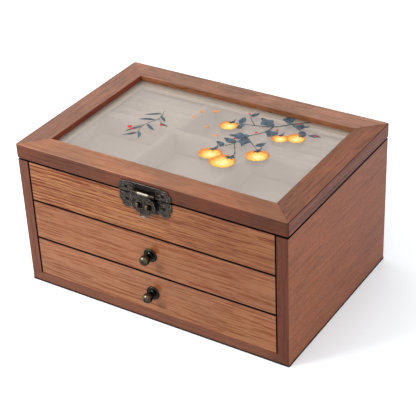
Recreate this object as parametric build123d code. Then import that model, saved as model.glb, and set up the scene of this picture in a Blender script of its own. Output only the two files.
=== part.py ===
from build123d import *
import math
import os

# Keepsake box: a wooden case with a glazed, hinged lid over a velvet-lined
# tray, two drawers below it, and an antique hasp latch at the front.
# Frame: millimetres, +Z up, the front faces -Y, the origin is the centre of
# the underside.

# ---------------------------------------------------------------- dimensions
LID_W, LID_D, TOP_Z = 286.4, 195.0, 151.0   # lid width (X), depth (Y), overall height
LID_T = 14.4                                # thickness of the lid's frame
RAIL = 24.2                                 # face width of the lid's rails
CASE_W, CASE_D = 285.4, 193.8               # the lid overhangs the case a little
FELT_T = 1.6                                # felt under the case
FELT_IN = 0.05                              # how far the felt stays inside the case's edges
CASE_ROUND = 0.3                            # rounding along the case's lower side edges
SIDE_T = 11.4                               # side boards
BOTTOM_TOP = 10.3                           # top of the bottom board
BACK_T = 9.0                                # back panel
SHADOW_H, SHADOW_D = 1.4, 3.0               # rebate that makes the line under the lid
LID_REST = 0.1                              # play between lid and case

LIP = 5.5                                   # wood above the glass
GLASS_T = 3.0
RABBET = 6.0                                # how far the glass goes under the rails
GLASS_PLAY = 0.4

FRONT_T = 9.0                               # drawer fronts and false front
FRONT_HW = 130.1                            # half width of the fronts
FRONT_Y = -96.7                             # face of the fronts
LOWER_Z = (10.6, 51.4)                      # lower drawer front
UPPER_Z = (52.9, 93.1)                      # upper drawer front
FALSE_Z = (94.5, 135.1)                     # false front of the tray
SHELF_Z = (51.3, 54.5)                      # board between the drawers
FLOOR_Z = (104.0, 108.0)                    # board under the tray
HOUSING = 3.0                               # depth of the grooves for both boards
WALL_T = 6.0                                # wall behind the false front

LINING_T = 3.0                              # padded tray walls
PAD_TOP = 114.0                             # top of the tray's padded floor
PART_TOP = 136.0                            # top of the padded partitions
PART_T = 8.0
PART_X = 42.0                               # cross partitions at +/- this
PART_Y = 17.0                               # long partition
ROLL_TOP = 131.0
ROLL_N = 5

DR_HW = 130.0                               # half width of the drawer boxes
DR_SIDE = 7.0
DR_BACK_Y = 82.0                            # rear face of the drawer boxes
DR_H = 36.0
DR_LOWER_Z = 10.6
DR_UPPER_Z = 54.8
DR_BOTTOM_T = 3.0
DR_LINE = 1.2

HINGE_X = 85.0                              # hinge centres at +/- this
HINGE_W = 30.0
HINGE_Y, HINGE_Z, HINGE_R = 100.1, 136.0, 2.2
HINGE_PIN_R, HINGE_PLAY = 0.9, 0.06
LEAF_T = 1.0
STOP_DEG = 98.0                             # the lid's stop

LATCH_X = 0.5                               # centre of the latch
LATCH_T = 0.9
HASP_Y, HASP_Z, HASP_R = -100.4, 139.6, 1.6
HASP_PIN_R, HASP_PLAY = 0.7, 0.06
KNUCKLE_HW = 7.1                            # half length of the hasp's knuckle
NAILS = (19.2, 141.4, 128.5)                # nail offset in X, upper and lower height

KNOB_X = 1.0                                # the knobs' place across the fronts
KNOB_Z = (31.6, 73.5)
KNOB_R, KNOB_C = 4.95, 9.5                  # the knob's ball and how far its centre stands out

# ------------------------------------------------------------------- helpers
os.makedirs("parts", exist_ok=True)


def block(x0, x1, y0, y1, z0, z1):
    return Pos((x0 + x1) / 2, (y0 + y1) / 2, (z0 + z1) / 2) * Box(x1 - x0, y1 - y0, z1 - z0)


def prism(points, length, direction):
    return extrude(make_face(Polyline(*points, close=True)), amount=length, dir=direction)


def rod(axis, r, a, b, c0, c1):
    """A cylinder along X, Y or Z from c0 to c1, centred on the other two coordinates."""
    n = abs(c1 - c0)
    m = (c0 + c1) / 2
    if axis == "X":
        return Pos(m, a, b) * Rot(0, 90, 0) * Cylinder(r, n)
    if axis == "Y":
        return Pos(a, m, b) * Rot(90, 0, 0) * Cylinder(r, n)
    return Pos(a, b, m) * Cylinder(r, n)


def solids_of(shape):
    if isinstance(shape, (list, tuple)):
        out = []
        for one in shape:
            out += solids_of(one)
        return out
    return list(shape.solids())


def save(name, shape):
    found = solids_of(shape)
    export_step(found[0] if len(found) == 1 else Compound(children=found), "parts/%s.step" % name)
    print("%-24s %2d" % (name, len(found)))


def along(shape, axis, lo=None, hi=None, tol=0.01):
    """Edges of a shape parallel to an axis, kept between two corner points."""
    out = []
    for e in shape.edges().filter_by(axis):
        c = e.center()
        if lo and not all(c_ >= l_ - tol for c_, l_ in zip((c.X, c.Y, c.Z), lo)):
            continue
        if hi and not all(c_ <= h_ + tol for c_, h_ in zip((c.X, c.Y, c.Z), hi)):
            continue
        out.append(e)
    return out


def wire_face(segments, y, x0=0.0):
    """A face in a plane of constant Y from lines and three-point arcs in (x, z)."""
    edges = []
    for seg in segments:
        pts = [(x0 + p[0], y, p[1]) for p in seg]
        edges.append(Line(*pts) if len(pts) == 2 else ThreePointArc(*pts))
    return make_face(Wire(edges))


def mirrored(half):
    """The same segments in reverse on the other side of x = 0."""
    return [tuple((-p[0], p[1]) for p in reversed(seg)) for seg in reversed(half)]


case_front, case_back = -CASE_D / 2, CASE_D / 2
hx = CASE_W / 2
inner_x = hx - SIDE_T
rim_z = TOP_Z - LID_T - LID_REST            # top of the case's rim
shoulder_z = rim_z - SHADOW_H
back_in = case_back - BACK_T
lid_z0 = TOP_Z - LID_T

shadow = block(-hx - 1, hx + 1, case_front - 1, case_back + 1, shoulder_z, rim_z + 1) - block(
    -hx + SHADOW_D, hx - SHADOW_D, case_front + SHADOW_D, case_back - SHADOW_D, shoulder_z - 1, rim_z + 2)

envelope = block(-hx, hx, case_front, case_back, FELT_T, rim_z + 5)
envelope = fillet(along(envelope, Axis.Y, (-200, -200, 0), (200, 200, FELT_T + 0.1)), CASE_ROUND)

# ------------------------------------------------------------------ the case
# Side boards, mitred to the bottom board, with housings for the two inner boards.
def side(sign):
    pts = [(-hx, case_front, FELT_T), (-inner_x, case_front, BOTTOM_TOP),
           (-inner_x, case_front, rim_z), (-hx, case_front, rim_z)]
    s = prism(pts, CASE_D, (0, 1, 0))
    s = fillet(along(s, Axis.Z, (-hx - 1, -200, 0), (-hx + 0.5, 200, 200)), 1.2)
    s = (s & envelope) - shadow
    s = s - block(-inner_x - HOUSING, -inner_x + 1, FRONT_Y + FRONT_T + 0.1, back_in, SHELF_Z[0], SHELF_Z[1])
    s = s - block(-inner_x - HOUSING, -inner_x + 1, FRONT_Y + FRONT_T + WALL_T, back_in, FLOOR_Z[0], FLOOR_Z[1])
    if sign > 0:
        s = mirror(s, about=Plane.YZ)
    return s


save("left_side", side(-1))
save("right_side", side(1))

bottom = prism([(-hx, case_front, FELT_T), (hx, case_front, FELT_T),
                (inner_x, case_front, BOTTOM_TOP), (-inner_x, case_front, BOTTOM_TOP)], CASE_D, (0, 1, 0))
save("bottom_board", bottom & envelope)

back = block(-inner_x, inner_x, back_in, case_back, BOTTOM_TOP, rim_z) - shadow
hinge_screw_x = [s * HINGE_X + o for s in (-1, 1) for o in (-9.5, 9.5)]
BODY_SCREW_Z, LID_SCREW_Z = 124.5, 143.8
SCREW_R, SCREW_L = 0.9, 6.5
for x in hinge_screw_x:
    back = back - rod("Y", SCREW_R + 0.03, x, BODY_SCREW_Z, case_back - SCREW_L - 0.2, case_back + 1)
save("back_panel", back)

nail_x = [LATCH_X - NAILS[0], LATCH_X + NAILS[0]]
NAIL_R, NAIL_L = 0.55, 6.0
false_front = block(-FRONT_HW, FRONT_HW, FRONT_Y, FRONT_Y + FRONT_T, *FALSE_Z)
false_front = fillet([e for e in false_front.edges() if abs(e.center().Y - FRONT_Y) < 0.01], 0.7)
for x in nail_x:
    false_front = false_front - rod("Y", NAIL_R + 0.03, x, NAILS[2], FRONT_Y - 1, FRONT_Y + NAIL_L + 0.2)
save("false_front", false_front)

wall_y = FRONT_Y + FRONT_T
save("tray_front_wall", block(-inner_x, inner_x, wall_y, wall_y + WALL_T, FALSE_Z[0], rim_z))
save("tray_floor", block(-inner_x - HOUSING, inner_x + HOUSING, wall_y + WALL_T, back_in, *FLOOR_Z))
save("drawer_shelf", block(-inner_x - HOUSING, inner_x + HOUSING, wall_y + 0.1, back_in, *SHELF_Z))

felt = block(-hx + FELT_IN, hx - FELT_IN, case_front + FELT_IN, case_back - FELT_IN, 0, FELT_T)
felt = fillet(along(felt, Axis.Z), 1.4)
save("base_felt", felt)

# ---------------------------------------------------------- padding in the tray
tx = inner_x - LINING_T
ty0, ty1 = wall_y + WALL_T + LINING_T, back_in - LINING_T
lining_top = 135.2
lining = [
    block(-inner_x, -tx, ty0, ty1, FLOOR_Z[1], lining_top),
    block(tx, inner_x, ty0, ty1, FLOOR_Z[1], lining_top),
    block(-inner_x, inner_x, wall_y + WALL_T, ty0, FLOOR_Z[1], lining_top),
    block(-inner_x, inner_x, ty1, back_in, FLOOR_Z[1], lining_top),
]
save("tray_wall_lining", lining)
save("tray_floor_pad", block(-tx, tx, ty0, ty1, FLOOR_Z[1], PAD_TOP))


def padded_wall(x0, x1, y0, y1):
    """A padded partition with a round top, running along its longer side."""
    b = block(x0, x1, y0, y1, PAD_TOP, PART_TOP)
    axis = Axis.X if (x1 - x0) > (y1 - y0) else Axis.Y
    return fillet(along(b, axis, (-200, -200, PART_TOP - 0.01), None), PART_T / 2 - 0.1)


p0, p1 = PART_Y - PART_T / 2, PART_Y + PART_T / 2
save("tray_long_partition", padded_wall(-tx, tx, p0, p1))
cross = []
for s in (-1, 1):
    xa, xb = s * PART_X - PART_T / 2, s * PART_X + PART_T / 2
    cross.append(padded_wall(xa, xb, ty0, p0))
    cross.append(padded_wall(xa, xb, p1, ty1))
save("tray_cross_partitions", cross)

pitch = (ty1 - p1) / ROLL_N


def rolls(x0, x1):
    out = []
    for i in range(ROLL_N):
        y0 = p1 + i * pitch + 0.15
        y1 = y0 + pitch - 0.3
        b = block(x0 + 0.3, x1 - 0.3, y0, y1, PAD_TOP, ROLL_TOP)
        out.append(fillet(along(b, Axis.X, (-200, -200, ROLL_TOP - 0.01), None), (y1 - y0) / 2 - 0.1))
    return out


save("ring_rolls_left", rolls(-tx, -PART_X - PART_T / 2))
save("ring_rolls_right", rolls(PART_X + PART_T / 2, tx))

# ---------------------------------------------------------------------- lid
glass_top = TOP_Z - LIP
glass_z0 = glass_top - GLASS_T
wx, wy = LID_W / 2 - RAIL, LID_D / 2 - RAIL
frame = block(-LID_W / 2, LID_W / 2, -LID_D / 2, LID_D / 2, lid_z0, TOP_Z)
frame = fillet(along(frame, Axis.Z), 2.4)
frame = frame - block(-wx, wx, -wy, wy, lid_z0 - 1, TOP_Z + 1)
top_outer = [e for e in frame.edges() if abs(e.center().Z - TOP_Z) < 0.01
             and (abs(e.center().X) > wx + 5 or abs(e.center().Y) > wy + 5)]
frame = fillet(top_outer, 0.5)
low_outer = [e for e in frame.edges() if abs(e.center().Z - lid_z0) < 0.01
             and (abs(e.center().X) > wx + 5 or abs(e.center().Y) > wy + 5)]
frame = fillet(low_outer, 1.6)
top_inner = [e for e in frame.edges() if abs(e.center().Z - TOP_Z) < 0.01
             and abs(e.center().X) < wx + 0.1 and abs(e.center().Y) < wy + 0.1]
frame = fillet(top_inner, 0.6)
frame = frame - block(-wx - RABBET, wx + RABBET, -wy - RABBET, wy + RABBET, lid_z0 - 1, glass_top)


def quarter(shape, which, z0, z1):
    """One side of a rectangular ring, cut at 45 degrees from its outer corners."""
    a, b, far, deep = LID_W / 2, LID_D / 2, 10.0, 60.0
    pts = {
        "front": [(-a - far, -b - far), (a + far, -b - far), (a - deep, -b + deep), (-a + deep, -b + deep)],
        "back": [(-a - far, b + far), (a + far, b + far), (a - deep, b - deep), (-a + deep, b - deep)],
        "left": [(-a - far, -b - far), (-a - far, b + far), (-a + deep, b - deep), (-a + deep, -b + deep)],
        "right": [(a + far, -b - far), (a + far, b + far), (a - deep, b - deep), (a - deep, -b + deep)],
    }[which]
    wedge = prism([(x, y, z0 - 2) for x, y in pts], z1 - z0 + 4, (0, 0, 1))
    return shape & wedge


rails = {w: quarter(frame, w, lid_z0, TOP_Z) for w in ("front", "back", "left", "right")}
for x in hinge_screw_x:
    rails["back"] = rails["back"] - rod("Y", SCREW_R + 0.03, x, LID_SCREW_Z, LID_D / 2 - SCREW_L - 0.2, LID_D / 2 + 1)
for x in nail_x:
    rails["front"] = rails["front"] - rod("Y", NAIL_R + 0.03, x, NAILS[1], -LID_D / 2 - 1, -LID_D / 2 + NAIL_L + 0.2)
for w in rails:
    save("lid_%s_rail" % w, rails[w])

gx, gy = wx + RABBET - GLASS_PLAY, wy + RABBET - GLASS_PLAY
save("lid_glass", block(-gx, gx, -gy, gy, glass_z0, glass_top))

bead_ring = block(-wx - RABBET, wx + RABBET, -wy - RABBET, wy + RABBET, lid_z0, glass_z0) - block(
    -wx, wx, -wy, wy, lid_z0 - 1, glass_z0 + 1)
beads = [quarter(bead_ring, w, lid_z0, glass_z0) for w in ("front", "back", "left", "right")]
save("glass_beads", beads)

# ------------------------------------------------------------------- hinges
def screw(r_head, l_head, l_shank, r_shank):
    """A countersunk screw with a cross recess; its head's face is at z = 0, facing +Z."""
    head = Pos(0, 0, -l_head / 2) * Cone(r_shank, r_head, l_head)
    shank = Pos(0, 0, -l_head - l_shank / 2) * Cylinder(r_shank, l_shank)
    s = head + shank
    for a in (0, 90):
        s = s - Pos(0, 0, -0.2) * Rot(0, 0, a) * Box(2.4, 0.5, 0.6)
    return s


def body_leaf(cx):
    h = HINGE_W / 2
    k = KN
    leaf = block(-h, h, case_back, case_back + LEAF_T, HINGE_Z - 19.4, HINGE_Z - 1.2)
    for s in (-1, 1):
        x0, x1 = sorted((s * k, s * h))
        leaf = leaf + block(x0, x1, case_back, HINGE_Y, HINGE_Z - HINGE_R, HINGE_Z - 1.2)
        leaf = leaf + rod("X", HINGE_R, HINGE_Y, HINGE_Z, x0, x1)
    leaf = leaf - block(-k, k, case_back + 0.5 * LEAF_T, HINGE_Y, HINGE_Z - 2.6, HINGE_Z)
    leaf = leaf + block(-k + 0.6, k - 0.6, case_back, HINGE_Y, HINGE_Z - 3.7, HINGE_Z - 2.7)
    leaf = leaf - rod("X", HINGE_PIN_R, HINGE_Y, HINGE_Z, -h - 1, h + 1)
    for o in (-9.5, 9.5):
        leaf = leaf - Pos(o, case_back + LEAF_T / 2, BODY_SCREW_Z) * Rot(-90, 0, 0) * Cone(1.05, 2.05, LEAF_T)
    leaf = fillet(along(leaf, Axis.Y, (-h - 1, 0, 0), (h + 1, 200, HINGE_Z - 19)), 2.0)
    return Pos(cx, 0, 0) * leaf


def lid_leaf(cx):
    h = HINGE_W / 2
    k = KN - 0.3
    y0 = LID_D / 2
    leaf = block(-h, h, y0, y0 + LEAF_T, HINGE_Z + 2.0, TOP_Z - 1.6)
    leaf = leaf + block(-k, k, y0, HINGE_Y, HINGE_Z + 1.2, HINGE_Z + HINGE_R)
    leaf = leaf + rod("X", HINGE_R, HINGE_Y, HINGE_Z, -k, k)
    # The nose that meets the other leaf's ledge when the lid is fully open.
    start = 258.0 - STOP_DEG
    nose = Pos(0, 0, 2.7) * Box(6.0, 1.2, 2.0)
    # 0 deg points to -Y and 90 deg to +Z
    ang = start - 90.0
    nose = Pos(0, HINGE_Y, HINGE_Z) * Rot(-ang, 0, 0) * nose
    leaf = leaf + nose
    leaf = leaf - rod("X", HINGE_PIN_R + HINGE_PLAY, HINGE_Y, HINGE_Z, -k - 1, k + 1)
    for o in (-9.5, 9.5):
        leaf = leaf - Pos(o, y0 + LEAF_T / 2, LID_SCREW_Z) * Rot(-90, 0, 0) * Cone(1.05, 2.05, LEAF_T)
    leaf = fillet(along(leaf, Axis.Y, (-h - 1, 0, TOP_Z - 2), (h + 1, 200, TOP_Z)), 2.0)
    return Pos(cx, 0, 0) * leaf


KN = 7.2
save("hinge_body_leaves", [body_leaf(s * HINGE_X) for s in (-1, 1)])
save("hinge_lid_leaves", [lid_leaf(s * HINGE_X) for s in (-1, 1)])


def hinge_pin(cx):
    h = HINGE_W / 2
    p = rod("X", HINGE_PIN_R, HINGE_Y, HINGE_Z, -h, h)
    for s in (-1, 1):
        x0, x1 = sorted((s * h, s * (h + 0.8)))
        head = rod("X", 1.7, HINGE_Y, HINGE_Z, x0, x1)
        edge = [e for e in head.edges() if e.geom_type == GeomType.CIRCLE and abs(e.center().X - s * (h + 0.8)) < 0.01]
        p = p + fillet(edge, 0.6)
    return Pos(cx, 0, 0) * p


save("hinge_pins", [hinge_pin(s * HINGE_X) for s in (-1, 1)])
save("hinge_body_screws", [Pos(x, case_back + LEAF_T - 0.03, BODY_SCREW_Z) * Rot(-90, 0, 0)
                           * screw(2.0, LEAF_T, SCREW_L, SCREW_R) for x in hinge_screw_x])
save("hinge_lid_screws", [Pos(x, LID_D / 2 + LEAF_T - 0.03, LID_SCREW_Z) * Rot(-90, 0, 0)
                          * screw(2.0, LEAF_T, SCREW_L, SCREW_R) for x in hinge_screw_x])

# -------------------------------------------------------------------- latch
# Plates with cloud-shaped edges. Points are (x from the latch's centre, z).
up = 136.6
half_up = [
    ((27.6, up), (27.8, 140.4)),
    ((27.8, 140.4), (27.3, 142.7), (25.3, 143.7)),
    ((25.3, 143.7), (25.0, 146.2), (22.8, 147.5)),
    ((22.8, 147.5), (20.2, 147.3), (17.6, 148.2)),
]
upper_outline = [((-27.6, up), (27.6, up))] + half_up + [((17.6, 148.2), (-17.6, 148.2))] + mirrored(half_up)
lid_face = -LID_D / 2
upper_plate = extrude(wire_face(upper_outline, lid_face, LATCH_X), amount=LATCH_T, dir=(0, -1, 0))
KX = KNUCKLE_HW + 0.3
for s in (-1, 1):
    x0, x1 = sorted((LATCH_X + s * KX, LATCH_X + s * (KX + 4.6)))
    upper_plate = upper_plate + rod("X", HASP_R, HASP_Y, HASP_Z, x0, x1)
    upper_plate = upper_plate + block(x0, x1, HASP_Y, lid_face - 0.2, HASP_Z - 0.8, HASP_Z + 0.8)
upper_plate = upper_plate - rod("X", HASP_PIN_R, HASP_Y, HASP_Z, LATCH_X - 20, LATCH_X + 20)
for x in nail_x:
    upper_plate = upper_plate - rod("Y", 1.0, x, NAILS[1], lid_face - 5, lid_face + 1)
save("latch_upper_plate", upper_plate)

lo = 135.1
half_lo = [
    ((27.6, lo), (27.6, 129.2)),
    ((27.6, 129.2), (27.1, 126.3), (24.9, 124.5)),
    ((24.9, 124.5), (24.5, 121.3), (21.4, 119.6)),
    ((21.4, 119.6), (18.4, 119.5), (16.2, 121.3)),
    ((16.2, 121.3), (11.0, 120.2), (6.5, 121.4)),
    ((6.5, 121.4), (3.6, 120.4), (0.0, 120.0)),
]
lower_outline = [((-27.6, lo), (27.6, lo))] + half_lo + mirrored(half_lo)
lower_plate = extrude(wire_face(lower_outline, FRONT_Y, LATCH_X), amount=LATCH_T, dir=(0, -1, 0))
for x in nail_x:
    lower_plate = lower_plate - rod("Y", 1.0, x, NAILS[2], FRONT_Y - 5, FRONT_Y + 1)
save("latch_lower_plate", lower_plate)

pin = rod("X", HASP_PIN_R, HASP_Y, HASP_Z, LATCH_X - KX - 4.6, LATCH_X + KX + 4.6)
for s in (-1, 1):
    x0, x1 = sorted((LATCH_X + s * (KX + 4.6), LATCH_X + s * (KX + 5.1)))
    pin = pin + rod("X", 1.2, HASP_Y, HASP_Z, x0, x1)
save("latch_pin", pin)

# The hasp: a shield with an S-shaped section, a knuckle, two slots with a lug
# bent out beside each, and a lip curled out at its tip.
front_line = [(-102.0, 139.6), (-101.95, 137.8), (-101.25, 135.0), (-100.95, 131.5),
              (-100.95, 122.8), (-101.5, 120.0), (-103.0, 116.9)]
back_line = [(-101.0, 139.6), (-100.95, 137.7), (-100.25, 134.9), (-99.95, 131.5),
             (-99.95, 122.6), (-100.5, 119.6), (-102.1, 116.4)]
sec = make_face(Wire([
    Spline(*[(-14.0, y, z) for y, z in front_line]),
    Line((-14.0,) + front_line[-1], (-14.0,) + back_line[-1]),
    Spline(*[(-14.0, y, z) for y, z in reversed(back_line)]),
    Line((-14.0,) + back_line[0], (-14.0,) + front_line[0]),
]))
web = extrude(sec, amount=28.0, dir=(1, 0, 0))
half_hasp = [
    ((KNUCKLE_HW, 139.7), (KNUCKLE_HW, 137.5)),
    ((KNUCKLE_HW, 137.5), (10.8, 134.2), (12.4, 129.4)),
    ((12.4, 129.4), (12.6, 126.4), (11.6, 123.7)),
    ((11.6, 123.7), (10.2, 121.7), (7.9, 121.3)),
    ((7.9, 121.3), (6.6, 119.9), (4.6, 119.5)),
    ((4.6, 119.5), (3.0, 117.3), (0.0, 116.6)),
]
hasp_outline = [((-KNUCKLE_HW, 139.7), (KNUCKLE_HW, 139.7))] + half_hasp + mirrored(half_hasp)
shield = extrude(wire_face(hasp_outline, -95.0, 0.0), amount=12.0, dir=(0, -1, 0))
hasp = (web & shield) + rod("X", HASP_R, HASP_Y, HASP_Z, -KNUCKLE_HW, KNUCKLE_HW)
LUG_Z0, LUG_Z1 = 125.6, 130.6
for lx in (-5.5, 4.6):
    hasp = hasp - block(lx + 1.0, lx + 4.3, -104, -98, LUG_Z0 - 0.4, LUG_Z1 + 0.4)
    lug = block(lx - 1.0, lx + 1.0, -103.9, -100.4, LUG_Z0, LUG_Z1)
    lug = fillet(along(lug, Axis.X, (-200, -103.95, 0), (200, -103.85, 200)), 1.9)
    lug = lug - rod("X", 0.8, -102.5, (LUG_Z0 + LUG_Z1) / 2, lx - 2, lx + 2)
    hasp = hasp + lug
hasp = hasp - rod("X", HASP_PIN_R + HASP_PLAY, HASP_Y, HASP_Z, -20, 20)
save("hasp", Pos(LATCH_X, 0, 0) * hasp)


def nail():
    """A small nail; its head's face is at z = 0, facing +Z."""
    head = Pos(0, 0, -0.25) * Cylinder(0.95, 0.5)
    head = fillet([e for e in head.edges() if e.geom_type == GeomType.CIRCLE and e.center().Z > -0.01], 0.3)
    return head + Pos(0, 0, -0.5 - NAIL_L / 2) * Cylinder(NAIL_R, NAIL_L)


save("latch_upper_nails", [Pos(x, lid_face - 0.6, NAILS[1]) * Rot(90, 0, 0) * nail() for x in nail_x])
save("latch_lower_nails", [Pos(x, FRONT_Y - 0.6, NAILS[2]) * Rot(90, 0, 0) * nail() for x in nail_x])

# ------------------------------------------------------------------- drawers
def knob():
    prof = [(0.0, 1.1), (3.5, 1.1), (3.5, 1.7), (2.9, 2.3), (2.6, 3.0), (2.7, 3.8), (3.2, 4.8), (3.7, 5.8), (3.98, 6.6), (0.0, 6.6)]
    neck = revolve(make_face(Polyline(*[(x, 0, z) for x, z in prof], close=True)), axis=Axis.Z)
    return neck + Pos(0, 0, KNOB_C) * Sphere(KNOB_R) - Pos(0, 0, 4.1) * Cylinder(1.75, 6.2)


def knob_plate():
    prof = [(1.95, 0.0), (6.9, 0.0), (6.9, 0.6), (6.75, 1.1), (6.35, 1.45), (5.85, 1.5), (5.4, 1.3), (5.0, 1.1), (1.95, 1.1)]
    return revolve(make_face(Polyline(*[(x, 0, z) for x, z in prof], close=True)), axis=Axis.Z)


def knob_screw():
    s = Pos(0, 0, -0.1) * Cylinder(1.7, 13.4)
    head = Pos(0, 0, -7.6) * Cylinder(3.4, 2.2)
    head = fillet([e for e in head.edges() if e.geom_type == GeomType.CIRCLE and e.center().Z < -8], 0.8)
    for a in (0, 90):
        head = head - Pos(0, 0, -8.4) * Rot(0, 0, a) * Box(4.0, 0.8, 1.2)
    return s + head


def drawer(name, z_front, zb, zk):
    fr = block(-FRONT_HW, FRONT_HW, FRONT_Y, FRONT_Y + FRONT_T, *z_front)
    fr = fillet([e for e in fr.edges() if abs(e.center().Y - FRONT_Y) < 0.01], 0.7)
    fr = fr - rod("Y", 1.8, KNOB_X, zk, FRONT_Y - 1, FRONT_Y + FRONT_T + 1)
    fr = fr - rod("Y", 3.8, KNOB_X, zk, FRONT_Y + FRONT_T - 2.7, FRONT_Y + FRONT_T + 1)
    save(name + "_front", fr)
    zt = zb + DR_H
    y0 = FRONT_Y + FRONT_T
    ix = DR_HW - DR_SIDE
    groove_z = (zb + 3.0, zb + 3.0 + DR_BOTTOM_T)
    for s, label in ((-1, "left"), (1, "right")):
        x0, x1 = sorted((s * DR_HW, s * ix))
        b = block(x0, x1, y0, DR_BACK_Y, zb, zt)
        b = fillet([e for e in b.edges().filter_by(Axis.Y) if e.center().Z > zt - 0.01], 1.2)
        gx0, gx1 = sorted((s * (ix - 1), s * (ix + 3.0)))
        b = b - block(gx0, gx1, y0 - 1, DR_BACK_Y + 1, *groove_z)
        save("%s_%s_side" % (name, label), b)
    bk = block(-ix, ix, DR_BACK_Y - DR_SIDE, DR_BACK_Y, groove_z[1], zt)
    save(name + "_back", fillet([e for e in bk.edges().filter_by(Axis.X) if e.center().Z > zt - 0.01], 1.2))
    save(name + "_bottom", block(-ix - 3.0, ix + 3.0, y0, DR_BACK_Y, *groove_z))
    f0, f1 = groove_z[1], groove_z[1] + 1.5
    yb = DR_BACK_Y - DR_SIDE
    top = zt - 2.5
    save(name + "_lining", [
        block(-ix, ix, y0, yb, f0, f1),
        block(-ix, -ix + DR_LINE, y0 + DR_LINE, yb - DR_LINE, f1, top),
        block(ix - DR_LINE, ix, y0 + DR_LINE, yb - DR_LINE, f1, top),
        block(-ix, ix, y0, y0 + DR_LINE, f1, top),
        block(-ix, ix, yb - DR_LINE, yb, f1, top),
    ])
    place = Pos(KNOB_X, FRONT_Y, zk) * Rot(90, 0, 0)
    save(name + "_knob", place * knob())
    save(name + "_knob_plate", place * knob_plate())
    save(name + "_knob_screw", place * knob_screw())


drawer("upper_drawer", UPPER_Z, DR_UPPER_Z, KNOB_Z[1])
drawer("lower_drawer", LOWER_Z, DR_LOWER_Z, KNOB_Z[0])
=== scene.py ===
import bpy
import math
import random
from mathutils import Matrix, Vector
from mathutils import noise as mnoise


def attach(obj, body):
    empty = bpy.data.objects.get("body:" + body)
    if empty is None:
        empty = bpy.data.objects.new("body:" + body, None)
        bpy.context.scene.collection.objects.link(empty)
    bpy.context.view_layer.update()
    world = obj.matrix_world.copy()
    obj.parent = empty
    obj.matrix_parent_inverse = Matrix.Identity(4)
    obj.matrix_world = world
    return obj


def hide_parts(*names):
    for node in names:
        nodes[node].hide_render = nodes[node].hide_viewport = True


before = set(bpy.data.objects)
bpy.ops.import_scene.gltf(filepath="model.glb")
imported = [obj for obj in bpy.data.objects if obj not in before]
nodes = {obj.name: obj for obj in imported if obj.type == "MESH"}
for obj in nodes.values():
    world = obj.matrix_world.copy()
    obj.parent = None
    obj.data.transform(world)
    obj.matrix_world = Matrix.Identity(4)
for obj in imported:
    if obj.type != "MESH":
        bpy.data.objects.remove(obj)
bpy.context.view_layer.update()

# A wooden keepsake box with a glazed lid, two drawers and an antique hasp.
# Lengths in this file are millimetres until a mesh is made; Z is up, the front faces -Y.
MM = 0.001
scene = bpy.context.scene
scene.view_settings.view_transform = "Standard"
scene.view_settings.look = "None"
scene.view_settings.exposure = 0.0
scene.view_settings.gamma = 1.0


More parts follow.
